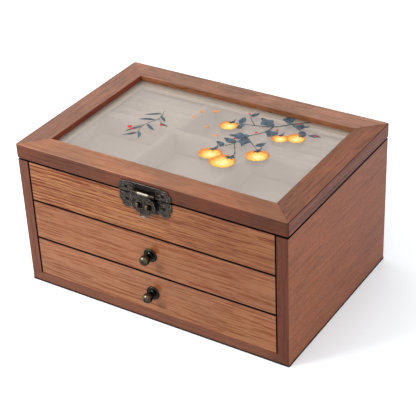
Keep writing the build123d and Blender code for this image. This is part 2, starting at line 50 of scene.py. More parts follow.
# ------------------------------------------------------------------ node helpers
class Net:
    """A material's node tree, with short calls for the nodes used here."""

    def __init__(self, name):
        self.mat = bpy.data.materials.new(name)
        self.mat.use_nodes = True
        self.tree = self.mat.node_tree
        self.tree.nodes.clear()
        self.out = self.tree.nodes.new("ShaderNodeOutputMaterial")
        self.count = 0

    def add(self, kind):
        n = self.tree.nodes.new(kind)
        n.location = (-1800 + 180 * (self.count % 10), 600 - 220 * (self.count // 10))
        self.count += 1
        return n

    def put(self, value, socket):
        if isinstance(value, bpy.types.NodeSocket):
            self.tree.links.new(value, socket)
        else:
            socket.default_value = value

    def coord(self, which="Object"):
        return self.add("ShaderNodeTexCoord").outputs[which]

    def mapping(self, vec, loc=(0, 0, 0), rot=(0, 0, 0), scale=(1, 1, 1)):
        n = self.add("ShaderNodeMapping")
        self.put(vec, n.inputs["Vector"])
        n.inputs["Location"].default_value = loc
        n.inputs["Rotation"].default_value = rot
        n.inputs["Scale"].default_value = scale
        return n.outputs[0]

    def math(self, op, a, b=0.0, clamp=False):
        n = self.add("ShaderNodeMath")
        n.operation = op
        n.use_clamp = clamp
        self.put(a, n.inputs[0])
        self.put(b, n.inputs[1])
        return n.outputs[0]

    def vmath(self, op, a, b=(0, 0, 0)):
        n = self.add("ShaderNodeVectorMath")
        n.operation = op
        self.put(a, n.inputs[0])
        if op not in ("LENGTH", "ABSOLUTE", "NORMALIZE"):
            self.put(b, n.inputs[1])
        return n.outputs["Value"] if op in ("LENGTH", "DOT_PRODUCT", "DISTANCE") else n.outputs["Vector"]

    def scaled(self, vec, k):
        n = self.add("ShaderNodeVectorMath")
        n.operation = "SCALE"
        self.put(vec, n.inputs[0])
        self.put(k, n.inputs["Scale"])
        return n.outputs["Vector"]

    def split(self, vec):
        n = self.add("ShaderNodeSeparateXYZ")
        self.put(vec, n.inputs[0])
        return n.outputs[0], n.outputs[1], n.outputs[2]

    def join(self, x, y, z):
        n = self.add("ShaderNodeCombineXYZ")
        self.put(x, n.inputs[0])
        self.put(y, n.inputs[1])
        self.put(z, n.inputs[2])
        return n.outputs[0]

    def noise(self, vec, scale=1.0, detail=2.0, rough=0.5, lac=2.0, distortion=0.0, colour=False):
        n = self.add("ShaderNodeTexNoise")
        n.noise_dimensions = "3D"
        self.put(vec, n.inputs["Vector"])
        n.inputs["Scale"].default_value = scale
        n.inputs["Detail"].default_value = detail
        n.inputs["Roughness"].default_value = rough
        n.inputs["Lacunarity"].default_value = lac
        n.inputs["Distortion"].default_value = distortion
        return n.outputs["Color"] if colour else n.outputs[0]

    def voronoi(self, vec, scale=1.0, feature="F1", out="Distance", rand=1.0):
        n = self.add("ShaderNodeTexVoronoi")
        n.feature = feature
        self.put(vec, n.inputs["Vector"])
        n.inputs["Scale"].default_value = scale
        n.inputs["Randomness"].default_value = rand
        return n.outputs[out]

    def ramp(self, fac, stops, mode="LINEAR"):
        n = self.add("ShaderNodeValToRGB")
        n.color_ramp.interpolation = mode
        els = n.color_ramp.elements
        while len(els) < len(stops):
            els.new(0.5)
        for e, (pos, col) in zip(els, stops):
            e.position = pos
            e.color = (col, col, col, 1.0) if isinstance(col, (int, float)) else (*col, 1.0)
        self.put(fac, n.inputs[0])
        return n.outputs[0]

    def remap(self, value, a, b, c=0.0, d=1.0, smooth=False):
        n = self.add("ShaderNodeMapRange")
        n.clamp = True
        if smooth:
            n.interpolation_type = "SMOOTHSTEP"
        self.put(value, n.inputs["Value"])
        self.put(a, n.inputs["From Min"])
        self.put(b, n.inputs["From Max"])
        self.put(c, n.inputs["To Min"])
        self.put(d, n.inputs["To Max"])
        return n.outputs[0]

    def mix(self, fac, a, b, mode="MIX"):
        n = self.add("ShaderNodeMix")
        n.data_type = "RGBA"
        n.blend_type = mode
        n.clamp_factor = True
        self.put(fac, n.inputs[0])
        for v, s in ((a, n.inputs[6]), (b, n.inputs[7])):
            self.put((*v, 1.0) if isinstance(v, tuple) and len(v) == 3 else v, s)
        return n.outputs[2]

    def mixv(self, fac, a, b):
        n = self.add("ShaderNodeMix")
        n.data_type = "VECTOR"
        self.put(fac, n.inputs[0])
        self.put(a, n.inputs[4])
        self.put(b, n.inputs[5])
        return n.outputs[1]

    def bump(self, height, distance, strength=1.0, normal=None):
        n = self.add("ShaderNodeBump")
        n.inputs["Strength"].default_value = strength
        n.inputs["Distance"].default_value = distance
        self.put(height, n.inputs["Height"])
        if normal is not None:
            self.put(normal, n.inputs["Normal"])
        return n.outputs[0]

    def shader(self, **sockets):
        """The Principled shader; a float or colour is set on its own socket, a node's output is linked."""
        n = self.add("ShaderNodeBsdfPrincipled")
        for key, value in sockets.items():
            name = key.replace("_", " ")
            name = {"Alpha": "Alpha", "IOR": "IOR", "Coat IOR": "Coat IOR",
                    "Specular IOR Level": "Specular IOR Level"}.get(name, name)
            if isinstance(value, tuple) and len(value) == 3:
                value = (*value, 1.0)
            self.put(value, n.inputs[name])
        self.tree.links.new(n.outputs[0], self.out.inputs["Surface"])
        return self.mat


# ------------------------------------------------------------------------- wood
TURN = {"X": (0, 0, 0), "Y": (0, 0, -math.pi / 2), "Z": (0, math.pi / 2, 0)}


def wood(name, grain, seed, light, dark, pitch=3.0, pith=(120.0, -60.0), wave=5.0, ripple=1.0,
         contrast=1.0, fibre=0.6, tone=0.35, warm=(1.06, 1.0, 0.94), cool=(0.93, 0.96, 1.0),
         edge=(0.8, 0.72, 0.68), end_grain=None, lower=None, arris=(0.80, 0.68, 0.66), edge_tint_share=0.3, rough=0.46,
         painted_joint_shade=None, strip=None, inner=None, coarse=1.0, spread=1.3, long=0.008, short=0.15, calm=None, line=None, fib=0.085,
         tick=0.12, stripes=0.0, oval_tints=()):
    """Stained open-pored wood. grain: the axis the fibres follow. pitch: ring spacing. pith: where the rings' centre
    lies across the grain. edge: tint of the board's narrow faces, which end_grain may also turn to another axis."""
    n = Net(name)
    obj = n.coord("Object")
    nrm = n.vmath("ABSOLUTE", n.coord("Normal"))
    p = n.mapping(obj, rot=TURN[grain], scale=(1000, 1000, 1000))
    nx, ny, nz = n.split(nrm)
    if end_grain:
        face, axis = end_grain
        mask = n.remap({"X": nx, "Y": ny, "Z": nz}[face], 0.6, 0.8)
        p = n.mixv(mask, p, n.mapping(obj, rot=TURN[axis], scale=(1000, 1000, 1000)))
    rnd = random.Random(seed)
    q = n.mapping(p, loc=(rnd.uniform(-900, 900), rnd.uniform(-900, 900), rnd.uniform(-900, 900)))

    # slow drift and small ripples of the growth rings
    w1 = n.noise(n.mapping(q, scale=(0.0055, 0.020, 0.020)), detail=2.0, rough=0.45, colour=True)
    w2 = n.noise(n.mapping(q, scale=(0.030, 0.060, 0.060)), detail=3.0, rough=0.55, colour=True)
    shift = n.vmath("ADD", n.scaled(n.vmath("SUBTRACT", w1, (0.5, 0.5, 0.5)), 2 * wave),
                    n.scaled(n.vmath("SUBTRACT", w2, (0.5, 0.5, 0.5)), 2 * ripple))
    _, by, bz = n.split(n.vmath("ADD", p, shift))
    flow = n.vmath("ADD", q, shift)
    radius = n.vmath("LENGTH", n.join(0.0, n.math("SUBTRACT", by, pith[0]), n.math("SUBTRACT", bz, pith[1])))
    width = n.noise(n.mapping(q, scale=(0.004, 0.085, 0.085)), detail=2.0)
    turns = n.math("ADD", n.math("DIVIDE", radius, pitch), n.math("MULTIPLY", width, spread))
    part = n.math("FRACT", turns)
    rings = n.ramp(part, [(0.0, 0.80), (0.07, 1.0), (0.22, 0.70), (0.45, 0.22), (0.88, 0.0), (1.0, 0.80)], "EASE")
    # no two rings are equally dark, and each comes and goes along the board
    own = n.noise(n.join(n.math("MULTIPLY", n.math("SUBTRACT", turns, n.math("MULTIPLY", part, 0.9)), 0.73),
                         n.math("MULTIPLY", n.split(q)[0], 0.011), 4.7), detail=1.0)
    rings = n.math("MULTIPLY", rings, n.remap(own, 0.32, 0.66, 0.25, 1.25))

    # long lines of fibre, finer ones between them, short flecks, and the pores
    lines = n.remap(n.noise(n.mapping(flow, scale=(long, 0.70 / coarse, 0.70 / coarse)), detail=1.0, rough=0.5), 0.37, 0.63)
    fine = n.remap(n.noise(n.mapping(flow, scale=(2 * long, 0.98 / coarse, 0.98 / coarse)), detail=0.0), 0.38, 0.62)
    flecks = n.remap(n.noise(n.mapping(flow, scale=(0.075, 1.0 / coarse, 1.0 / coarse)), detail=1.0), 0.50, 0.66)
    ticks = n.remap(n.noise(n.mapping(flow, loc=(31.0, 7.0, 3.0), scale=(tick, 0.9, 0.9)), detail=0.0), 0.60, 0.72)
    fibres = n.noise(n.mapping(flow, scale=(fib, 1.0, 1.0)), detail=2.0, rough=0.6)
    pores = n.remap(n.noise(n.mapping(flow, scale=(0.14, 3.0, 3.0)), detail=1.0), 0.58, 0.70)
    pores = n.math("MULTIPLY", pores, n.remap(rings, 0.15, 0.9, 0.35, 1.0))
    area = n.noise(n.mapping(q, scale=(0.006, 0.016, 0.016)), detail=2.0, rough=0.5)
    blotch = n.noise(n.mapping(q, scale=(0.020, 0.045, 0.045)), detail=3.0, rough=0.55)

    strength = n.remap(area, 0.36, 0.64, 0.55 * contrast, 1.05 * contrast, smooth=True)
    if calm:
        # the rings fade towards one end: (axis, from, to, what is left of them)
        axis, a, b, left = calm
        along = n.split(n.mapping(obj, scale=(1000, 1000, 1000)))["XYZ".index(axis)]
        strength = n.math("MULTIPLY", strength, n.remap(along, a, b, 1.0, left, smooth=True))
    f = n.math("MULTIPLY", rings, strength)
    f = n.math("MULTIPLY", f, n.remap(lines, 0.0, 1.0, 0.70, 1.20))
    f = n.math("ADD", f, n.math("MULTIPLY", n.math("SUBTRACT", lines, 0.5), 0.34 * fibre))
    f = n.math("ADD", f, n.math("MULTIPLY", n.math("SUBTRACT", fine, 0.5), 0.60 * fibre))
    f = n.math("ADD", f, n.math("MULTIPLY", n.math("SUBTRACT", fibres, 0.5), 1.1 * fibre))
    f = n.math("ADD", f, n.math("MULTIPLY", n.math("SUBTRACT", flecks, 0.25), short))
    f = n.math("SUBTRACT", f, n.math("MULTIPLY", ticks, 1.2 * short))
    f = n.math("ADD", f, n.math("MULTIPLY", pores, 0.22))
    f = n.math("ADD", f, 0.20, clamp=True)
    colour = n.mix(f, light, dark)
    hue = n.mix(n.remap(blotch, 0.32, 0.68, smooth=True), cool, warm)
    colour = n.mix(tone, colour, n.mix(1.0, colour, hue, "MULTIPLY"))
    shade = n.remap(n.math("ADD", n.math("MULTIPLY", area, 0.6), n.math("MULTIPLY", blotch, 0.4)),
                    0.32, 0.68, 1.0 - 0.30 * tone, 1.0 + 0.26 * tone)
    colour = n.mix(1.0, colour, n.join(shade, shade, shade), "MULTIPLY")

    # narrow faces take the stain darker
    if edge:
        flat = n.remap(nz, 0.86, 0.97)
        colour = n.mix(flat, n.mix(1.0, colour, edge, "MULTIPLY"), colour)
    if stripes:
        # straight light and dark lines on the narrow outer faces
        stripe = n.remap(n.noise(n.mapping(q, scale=(0.006, 0.80, 0.80)), detail=0.0), 0.36, 0.64, 1.0 - stripes, 1.0 + stripes)
        colour = n.mix(n.remap(nz, 0.5, 0.3), colour, n.mix(1.0, colour, n.join(stripe, stripe, stripe), "MULTIPLY"))
    if inner:
        # the wall round the opening: (half width, half depth, tint)
        px, py, _ = n.split(n.vmath("ABSOLUTE", n.mapping(obj, scale=(1000, 1000, 1000))))
        k = n.math("MULTIPLY", n.remap(px, inner[0] + 0.4, inner[0] + 0.15), n.remap(py, inner[1] + 0.4, inner[1] + 0.15))
        k = n.math("MULTIPLY", k, n.remap(nz, 0.75, 0.55))
        colour = n.mix(k, colour, n.mix(1.0, colour, inner[2], "MULTIPLY"))
    if lower:
        # tint that grows towards one end: (axis, from, to, colour)
        axis, a, b, tint = lower
        px, py, pz = n.split(n.mapping(obj, scale=(1000, 1000, 1000)))
        k = n.remap({"X": px, "Y": py, "Z": pz}[axis], a, b, smooth=True)
        k = n.math("MULTIPLY", k, n.remap(blotch, 0.2, 0.8, 0.8, 1.2))
        colour = n.mix(k, colour, n.mix(1.0, colour, tint, "MULTIPLY"))
    if line:
        # a tinted line along a top edge: (axis, from, to, tint, axis, from, to), fading along the second axis; on the
        # front lid rail it is a painted highlight
        pos = n.split(n.mapping(obj, scale=(1000, 1000, 1000)))
        k = n.math("MULTIPLY", n.remap(pos["XYZ".index(line[0])], line[1], line[2]), n.remap(nz, 0.45, 0.60))
        k = n.math("MULTIPLY", k, n.remap(pos["XYZ".index(line[4])], line[5], line[6], smooth=True))
        k = n.math("MULTIPLY", k, n.remap(blotch, 0.30, 0.55, 0.65, 1.0))
        colour = n.mix(k, colour, n.mix(1.0, colour, line[3], "MULTIPLY"))
    for cx, cz, along, across, turn, tint in oval_tints:
        # a soft oval tint on the face across Y: its middle, half length, half width, slope in degrees and tint
        r = n.mapping(obj, loc=(-cx, 0.0, -cz), scale=(1000, 1000, 1000))
        r = n.mapping(n.mapping(r, rot=(0.0, math.radians(-turn), 0.0)), scale=(1.0 / along, 0.0, 1.0 / across))
        k = n.remap(n.vmath("LENGTH", r), 1.15, 0.35, smooth=True)
        k = n.math("MULTIPLY", k, n.remap(fibres, 0.30, 0.60, 0.80, 1.0))
        k = n.math("MULTIPLY", k, n.remap(ny, 0.80, 0.95))
        colour = n.mix(k, colour, n.mix(1.0, colour, tint, "MULTIPLY"))
    if strip:
        face, tint = strip
        colour = n.mix(n.remap({"X": nx, "Y": ny, "Z": nz}[face], 0.6, 0.8), colour, n.mix(1.0, colour, tint, "MULTIPLY"))
    # The rounded arrises take the arris tint: most boards get darker edges, and on the front lid rail the lighter tint
    # is a painted highlight.
    most = n.math("MAXIMUM", n.math("MAXIMUM", nx, ny), nz)
    rim = n.remap(most, 0.985, 0.90, smooth=True)
    rim = n.math("MULTIPLY", rim, n.remap(blotch, 0.30, 0.60, 0.5, 1.0))
    colour = n.mix(n.math("MULTIPLY", rim, edge_tint_share), colour, n.mix(1.0, colour, arris, "MULTIPLY"))
    if painted_joint_shade:
        # painted shade for the joints: faces that show in the gaps between parts, darkened within 2 mm of the outside:
        # a list of (axis, from, to) in mm, ("-Z",) for faces that look down or ("side",) for faces across Y
        sx, sy, sz = n.split(n.coord("Normal"))
        px, py, pz = n.split(n.vmath("ABSOLUTE", n.mapping(obj, scale=(1000, 1000, 1000))))
        band = n.math("MAXIMUM", n.remap(px, 140.2, 140.8), n.remap(py, 94.2, 94.8))
        for rule in painted_joint_shade:
            if rule[0] == "-Z":
                k = n.remap(sz, -0.6, -0.8)
            elif rule[0] == "side":
                k = n.remap(ny, 0.97, 0.84)
            else:
                k = n.remap({"X": px, "Y": py, "Z": pz}[rule[0]], rule[1], rule[2])
            k = n.math("MULTIPLY", k, band)
            colour = n.mix(k, colour, n.mix(1.0, colour, (0.050, 0.024, 0.020), "MULTIPLY"))

    height = n.math("SUBTRACT", n.math("MULTIPLY", fibres, 0.5), n.math("MULTIPLY", pores, 0.8))
    height = n.math("SUBTRACT", height, n.math("MULTIPLY", lines, 0.25))
    roughness = n.remap(n.math("ADD", fibres, n.math("MULTIPLY", pores, 0.5)), 0.3, 0.9, rough - 0.05, rough + 0.14)
    return n.shader(Base_Color=colour, Roughness=roughness, Specular_IOR_Level=0.14,
                    Normal=n.bump(height, 0.00012, 0.55))


def dress(node, material):
    o = nodes[node]
    if not o.material_slots:
        o.data.materials.append(material)
    for s in o.material_slots:
        s.material = material


# The lid's rails: reddish walnut stain, blotchy, with short fine fibres. Each is cut from another board.
for k, (side, grain, pith, pale, deep, edge, inner, arris, edge_tint_share) in enumerate((
        ("front", "X", (-250.0, -80.0), (0.265, 0.119, 0.0645), (0.158, 0.0600, 0.0305), (0.395, 0.262, 0.204),
         (1.00, 0.62, 0.45), (1.15, 1.05, 1.05), 0.35),
        ("back", "X", (260.0, -40.0), (0.260, 0.128, 0.082), (0.114, 0.0480, 0.0275), (0.75, 0.62, 0.60),
         (1.20, 1.18, 0.84), (0.85, 0.75, 0.72), 0.3),
        ("left", "Y", (300.0, -60.0), (0.206, 0.100, 0.068), (0.117, 0.0475, 0.030), (0.45, 0.38, 0.36),
         (1.95, 1.02, 0.80), (0.85, 0.75, 0.72), 0.3),
        ("right", "Y", (-320.0, -30.0), (0.172, 0.064, 0.0325), (0.086, 0.0260, 0.0130), (0.83, 0.70, 0.77),
         (1.00, 0.62, 0.45), (0.50, 0.22, 0.20), 1.0))):
    # On every rail, faces looking down near the outside take painted shade for the joint under the lid.
    dress("lid_%s_rail" % side, wood(
        "walnut_stain_%s_rail" % side, grain, 11 + k, pale, deep, pitch=4.2, pith=pith, wave=7.0, ripple=1.4,
        contrast=0.32, fibre={"right": 0.95, "back": 0.78}.get(side, 0.60), tone=0.9, edge=edge, fib=0.2 if side == "right" else 0.085, inner=(119.0, 73.3, inner), arris=arris, edge_tint_share=edge_tint_share,
        long=0.016, short={"right": 0.26, "back": 0.30}.get(side, 0.24), stripes=0.32 if side == "right" else 0.0,
        lower=("X", -20.0, 100.0, (0.95, 0.85, 0.77)) if side == "front" else None,
        # the front rail's pale bluish line along its top front edge, and its lighter arris tint, are a painted
        # highlight
        line={"front": ("Y", -95.9, -96.4, (1.30, 1.50, 1.75), "X", 10.0, -50.0),
              "right": ("X", 142.0, 142.7, (0.42, 0.24, 0.22), "Y", -140.0, -130.0)}.get(side),
        painted_joint_shade=[("-Z",)]))

SIDE_L, SIDE_D = (0.300, 0.115, 0.066), (0.165, 0.058, 0.034)
# Side boards: their inner faces beside the fronts and the top of the rebate under the lid take painted shade for the
# joints.
dress("left_side", wood(
    "walnut_stain_left_side", "Y", 31, SIDE_L, SIDE_D, pitch=2.6, pith=(250.0, -40.0), wave=5.0, ripple=0.6,
    contrast=0.40, fibre=0.5, tone=0.6, edge=None, end_grain=("Y", "Z"), strip=("Y", (0.43, 0.376, 0.35)),
    edge_tint_share=0.0, painted_joint_shade=[("X", 131.5, 131.35), ("Z", 134.95, 135.05)]))
# The right side's painted joint shade also reaches about half a millimetre down its outer face under the lid, and its
# blue tint towards the back is a painted reflection.
dress("right_side", wood(
    "walnut_stain_right_side", "Y", 32, (0.240, 0.0748, 0.0305), (0.147, 0.0434, 0.0179), pitch=2.6, pith=(40.0, -140.0),
    wave=6.0, ripple=0.9, contrast=0.30, fibre=1.1, tone=0.25, edge=None, end_grain=("Y", "Z"), coarse=1.0, long=0.009, short=0.14,
    fib=0.28, tick=0.35,
    strip=("Y", (0.405, 0.355, 0.40)), lower=("Y", -60.0, 90.0, (0.92, 0.97, 1.22)), edge_tint_share=0.0,
    painted_joint_shade=[("X", 131.5, 131.35), ("Z", 134.55, 134.65)]))
dress("bottom_board", wood("walnut_stain_bottom", "X", 41, SIDE_L, SIDE_D, pitch=2.6, pith=(60.0, -90.0),
                           contrast=0.35, fibre=0.45, edge=(0.534, 0.487, 0.441), edge_tint_share=0.0,
                           lower=("X", 112.0, 135.0, (0.66, 0.63, 0.68))))
dress("back_panel", wood("walnut_stain_back", "X", 43, SIDE_L, SIDE_D, pitch=3.2, pith=(-120.0, -70.0), wave=8.0,
                         contrast=0.6, fibre=0.5, tone=0.5, edge=None))

# The three fronts: golden brown, with open wavy rings.
# The fronts' narrow edges near their faces take painted shade for the gaps round them.
dress("false_front", wood("golden_stain_false_front", "X", 57, (0.308, 0.131, 0.0510), (0.124, 0.0200, 0.0030),
                          pitch=2.7, pith=(60.0, -30.0), wave=5.0, ripple=1.3, contrast=1.15, fibre=1.0, spread=0.7, long=0.006, short=0.10,
                          calm=("X", -35.0, 35.0, 0.35), tone=0.4, edge=None, lower=("X", -60.0, 90.0, (0.74, 0.66, 0.70)), painted_joint_shade=[("side",)]))
dress("upper_drawer_front", wood("golden_stain_upper_front", "X", 63, (0.272, 0.110, 0.0510), (0.158, 0.0345, 0.0075),
                                 pitch=2.2, pith=(80.0, -120.0), wave=4.0, ripple=0.9, contrast=0.30, fibre=1.15,
                                 tone=0.30, edge=None, lower=("X", -20.0, 110.0, (0.86, 0.84, 0.84)), short=0.18, painted_joint_shade=[("side",)],
                                 # by the knob: a darker, redder oval above right of its rosette, and a painted shadow
                                 # of the knob below right
                                 oval_tints=((6.4, 81.6, 6.0, 5.0, -20.0, (0.68, 0.47, 0.28)), (10.6, 62.6, 9.0, 5.0, -58.0, (0.84, 0.83, 0.80)))))
dress("lower_drawer_front", wood("golden_stain_lower_front", "X", 71, (0.288, 0.121, 0.0600), (0.150, 0.0375, 0.0085),
                                 pitch=2.5, pith=(40.0, 170.0), wave=5.0, ripple=1.0, contrast=0.52, fibre=1.08,
                                 tone=0.30, edge=None, lower=("X", -30.0, 100.0, (0.86, 0.82, 0.76)), short=0.16, painted_joint_shade=[("side",)],
                                 # by the knob: a darker, redder oval above right of its rosette, and a painted shadow
                                 # of the knob below right
                                 oval_tints=((6.4, 39.0, 6.0, 5.0, -20.0, (0.68, 0.47, 0.28)), (10.6, 20.6, 9.0, 5.0, -58.0, (0.84, 0.83, 0.80)))))

# Inner wood: paler, plain.
INNER_L, INNER_D = (0.400, 0.225, 0.120), (0.230, 0.112, 0.058)
for k, (node, grain) in enumerate((
        ("tray_front_wall", "X"), ("tray_floor", "X"), ("drawer_shelf", "X"),
        ("upper_drawer_left_side", "Y"), ("upper_drawer_right_side", "Y"), ("upper_drawer_back", "X"),
        ("upper_drawer_bottom", "X"), ("lower_drawer_left_side", "Y"), ("lower_drawer_right_side", "Y"),
        ("lower_drawer_back", "X"), ("lower_drawer_bottom", "X"))):
    dress(node, wood("plain_wood_%s" % node, grain, 81 + k, INNER_L, INNER_D, pitch=3.5, pith=(210.0, -90.0 - 13 * k),
                     contrast=0.4, fibre=0.5, tone=0.4, edge=None, rough=0.55))
dress("glass_beads", wood("pale_wood_beads", "X", 97, (0.820, 0.710, 0.550), (0.680, 0.570, 0.420), pitch=2.0,
                          contrast=0.25, fibre=0.35, edge=None, edge_tint_share=0.0))


# ------------------------------------------------------------------------ metal
def bronze(name, seed, base=(0.042, 0.035, 0.031), high=(0.120, 0.104, 0.090), warm=(0.078, 0.048, 0.036), rough=0.34,
           relief=1.0, zones=(), under=0.40, over=1.35, hollow=(0.012, 0.011, 0.010)):
    """Dark antique bronze: nearly black in its hollows, rubbed brighter on its edges, with painted shade on its
    undersides and a painted reflection on its upward faces.
    zones: stretches with their own colour, each (low corner, high corner, colour, share)."""
    n = Net(name)
    obj = n.coord("Object")
    p = n.mapping(obj, loc=(seed * 17.3, seed * 9.1, seed * 5.7), scale=(1000, 1000, 1000))
    patch = n.noise(p, scale=0.20, detail=3.0, rough=0.6)
    grit = n.noise(p, scale=0.62, detail=4.0, rough=0.65)
    fine = n.noise(p, scale=3.5, detail=2.0, rough=0.6)
    colour = n.mix(n.remap(patch, 0.46, 0.66, smooth=True), base, warm)
    colour = n.mix(n.remap(grit, 0.50, 0.64, 0.0, 0.85), colour, high)
    colour = n.mix(n.remap(grit, 0.48, 0.38, 0.0, 0.9), colour, hollow)
    nx, ny, nz = n.split(n.vmath("ABSOLUTE", n.coord("Normal")))
    most = n.math("MAXIMUM", n.math("MAXIMUM", nx, ny), nz)
    edge_tint_share = n.math("MULTIPLY", n.remap(most, 0.98, 0.80, smooth=True), n.remap(fine, 0.35, 0.6, 0.3, 1.0))
    colour = n.mix(n.math("MULTIPLY", edge_tint_share, 0.45), colour, high)
    # faces looking down are darkened (under) and faces looking up lightened (over): a painted shade and a painted
    # reflection
    painted_light_by_facing = n.remap(n.split(n.coord("Normal"))[2], -0.5, 0.8, under, over, smooth=True)
    colour = n.mix(1.0, colour, n.join(painted_light_by_facing, painted_light_by_facing, painted_light_by_facing), "MULTIPLY")
    rness = n.remap(grit, 0.35, 0.70, rough + 0.16, rough - 0.08)
    px, py, pz = n.split(n.mapping(obj, scale=(1000, 1000, 1000)))
    for lo, hi, tint, share in zones:
        k = share
        for v, a, b in ((px, lo[0], hi[0]), (py, lo[1], hi[1]), (pz, lo[2], hi[2])):
            soft = min(0.5, (b - a) * 0.3)
            k = n.math("MULTIPLY", k, n.math("MULTIPLY", n.remap(v, a - soft, a + soft, smooth=True),
                                             n.remap(v, b + soft, b - soft, smooth=True)))
        k = n.math("MULTIPLY", k, n.remap(fine, 0.25, 0.5, 0.7, 1.0))
        colour = n.mix(k, colour, tint)
    h = n.math("ADD", n.math("MULTIPLY", grit, 0.7), n.math("MULTIPLY", fine, 0.3))
    return n.shader(Base_Color=colour, Metallic=1.0, Roughness=rness, Normal=n.bump(h, 0.00022, 0.8 * relief))


def lacquer(name, seed, a, b):
    """Near-black old lacquer on nail heads."""
    n = Net(name)
    p = n.mapping(n.coord("Object"), loc=(seed * 2.7, 0, 0), scale=(1000, 1000, 1000))
    f = n.noise(p, scale=1.4, detail=3.0, rough=0.6)
    return n.shader(Base_Color=n.mix(f, a, b), Roughness=n.remap(f, 0.3, 0.7, 0.5, 0.7), Specular_IOR_Level=0.12,
                    Normal=n.bump(f, 0.0001, 0.6))


# painted shade: a near-black square round each nail, for the nail holes
NAIL_HOLE_SHADE = tuple(((0.5 + s * 19.2 - 1.8, -110.0, z - 1.8), (0.5 + s * 19.2 + 1.8, -90.0, z + 1.8), (0.003, 0.0025, 0.002), 1.0)
             for s in (-1, 1) for z in (141.4, 128.5))
bronze_plate = bronze("antique_bronze_plates", 1, zones=NAIL_HOLE_SHADE + (
    ((-11.9, -110.0, 137.8), (-6.6, -99.0, 141.6), (0.030, 0.022, 0.017), 1.0),
    ((7.6, -110.0, 137.8), (12.9, -99.0, 141.6), (0.040, 0.030, 0.023), 1.0),
    # painted shade in the recess above the barrel
    ((-13.5, -110.0, 141.6), (16.0, -90.0, 147.4), (0.008, 0.007, 0.006), 0.85),
    # painted shadow of the hasp on the lower plate, right of it
    ((10.5, -110.0, 126.5), (17.5, -90.0, 135.4), (0.008, 0.007, 0.006), 0.7),
    # painted shade in the gap between the two plates
    ((-40.0, -110.0, 134.7), (40.0, -90.0, 136.9), (0.005, 0.005, 0.005), 0.95)))
bronze_relief = bronze("antique_bronze_relief", 6, base=(0.074, 0.062, 0.052), high=(0.158, 0.136, 0.116),
                       warm=(0.095, 0.064, 0.048), hollow=(0.020, 0.017, 0.015))
bronze_hasp = bronze("antique_bronze_hasp", 2, base=(0.030, 0.024, 0.018), high=(0.095, 0.080, 0.066),
                     warm=(0.062, 0.040, 0.027), zones=(
    # painted highlight along the middle of the barrel
    ((-4.9, -104.0, 139.6), (5.9, -100.4, 142.2), (0.285, 0.260, 0.208), 0.9),
    # painted highlight on the curled tip
    ((-3.0, -106.0, 115.0), (4.0, -100.0, 117.9), (0.30, 0.29, 0.25), 0.8),
    ((-6.2, -105.0, 125.2), (-3.8, -101.6, 131.0), (0.088, 0.064, 0.044), 1.0),
    ((3.9, -105.0, 125.2), (6.3, -101.6, 131.0), (0.088, 0.064, 0.044), 1.0)))
bronze_knob = bronze("antique_bronze_knobs", 3, base=(0.034, 0.028, 0.018), high=(0.110, 0.093, 0.063),
                     warm=(0.060, 0.042, 0.022), rough=0.26, relief=0.30, under=0.25, over=1.5,
                     # painted shade on the knobs' necks, between ball and rosette
                     zones=tuple(((-3.2, -101.8, z - 3.4), (5.2, -96.0, z + 3.4), (0.006, 0.005, 0.004), 1.0)
                                 for z in (31.6, 73.5)))
bronze_rosette = bronze("antique_bronze_rosettes", 7, base=(0.015, 0.014, 0.010), high=(0.056, 0.052, 0.038),
                        warm=(0.023, 0.018, 0.012), rough=0.34, relief=0.5, under=0.30, over=1.35)
bronze_hinge = bronze("antique_bronze_hinges", 4, rough=0.33, relief=0.5)
nail_black = lacquer("black_nail_heads", 5, (0.002, 0.002, 0.002), (0.007, 0.006, 0.005))
for node in ("latch_upper_plate", "latch_lower_plate"):
    dress(node, bronze_plate)
dress("hasp", bronze_hasp)
dress("latch_pin", bronze_hasp)
for node in ("latch_upper_nails", "latch_lower_nails"):
    dress(node, nail_black)
for node in ("hinge_body_leaves", "hinge_lid_leaves", "hinge_pins"):
    dress(node, bronze_hinge)
for d in ("upper", "lower"):
    dress(d + "_drawer_knob", bronze_knob)
    dress(d + "_drawer_knob_plate", bronze_rosette)


def steel(name, seed):
    n = Net(name)
    p = n.mapping(n.coord("Object"), loc=(seed * 3.1, 0, 0), scale=(1000, 1000, 1000))
    brushed = n.noise(n.mapping(p, scale=(3.0, 0.6, 3.0)), detail=3.0)
    spots = n.noise(p, scale=1.1, detail=3.0)
    colour = n.mix(n.remap(spots, 0.5, 0.75), (0.46, 0.44, 0.41), (0.27, 0.24, 0.21))
    return n.shader(Base_Color=colour, Metallic=1.0, Roughness=n.remap(brushed, 0.3, 0.7, 0.24, 0.40),
                    Normal=n.bump(brushed, 0.00005, 0.4))


for k, node in enumerate(("hinge_body_screws", "hinge_lid_screws", "upper_drawer_knob_screw", "lower_drawer_knob_screw")):
    dress(node, steel("steel_%s" % node, k))


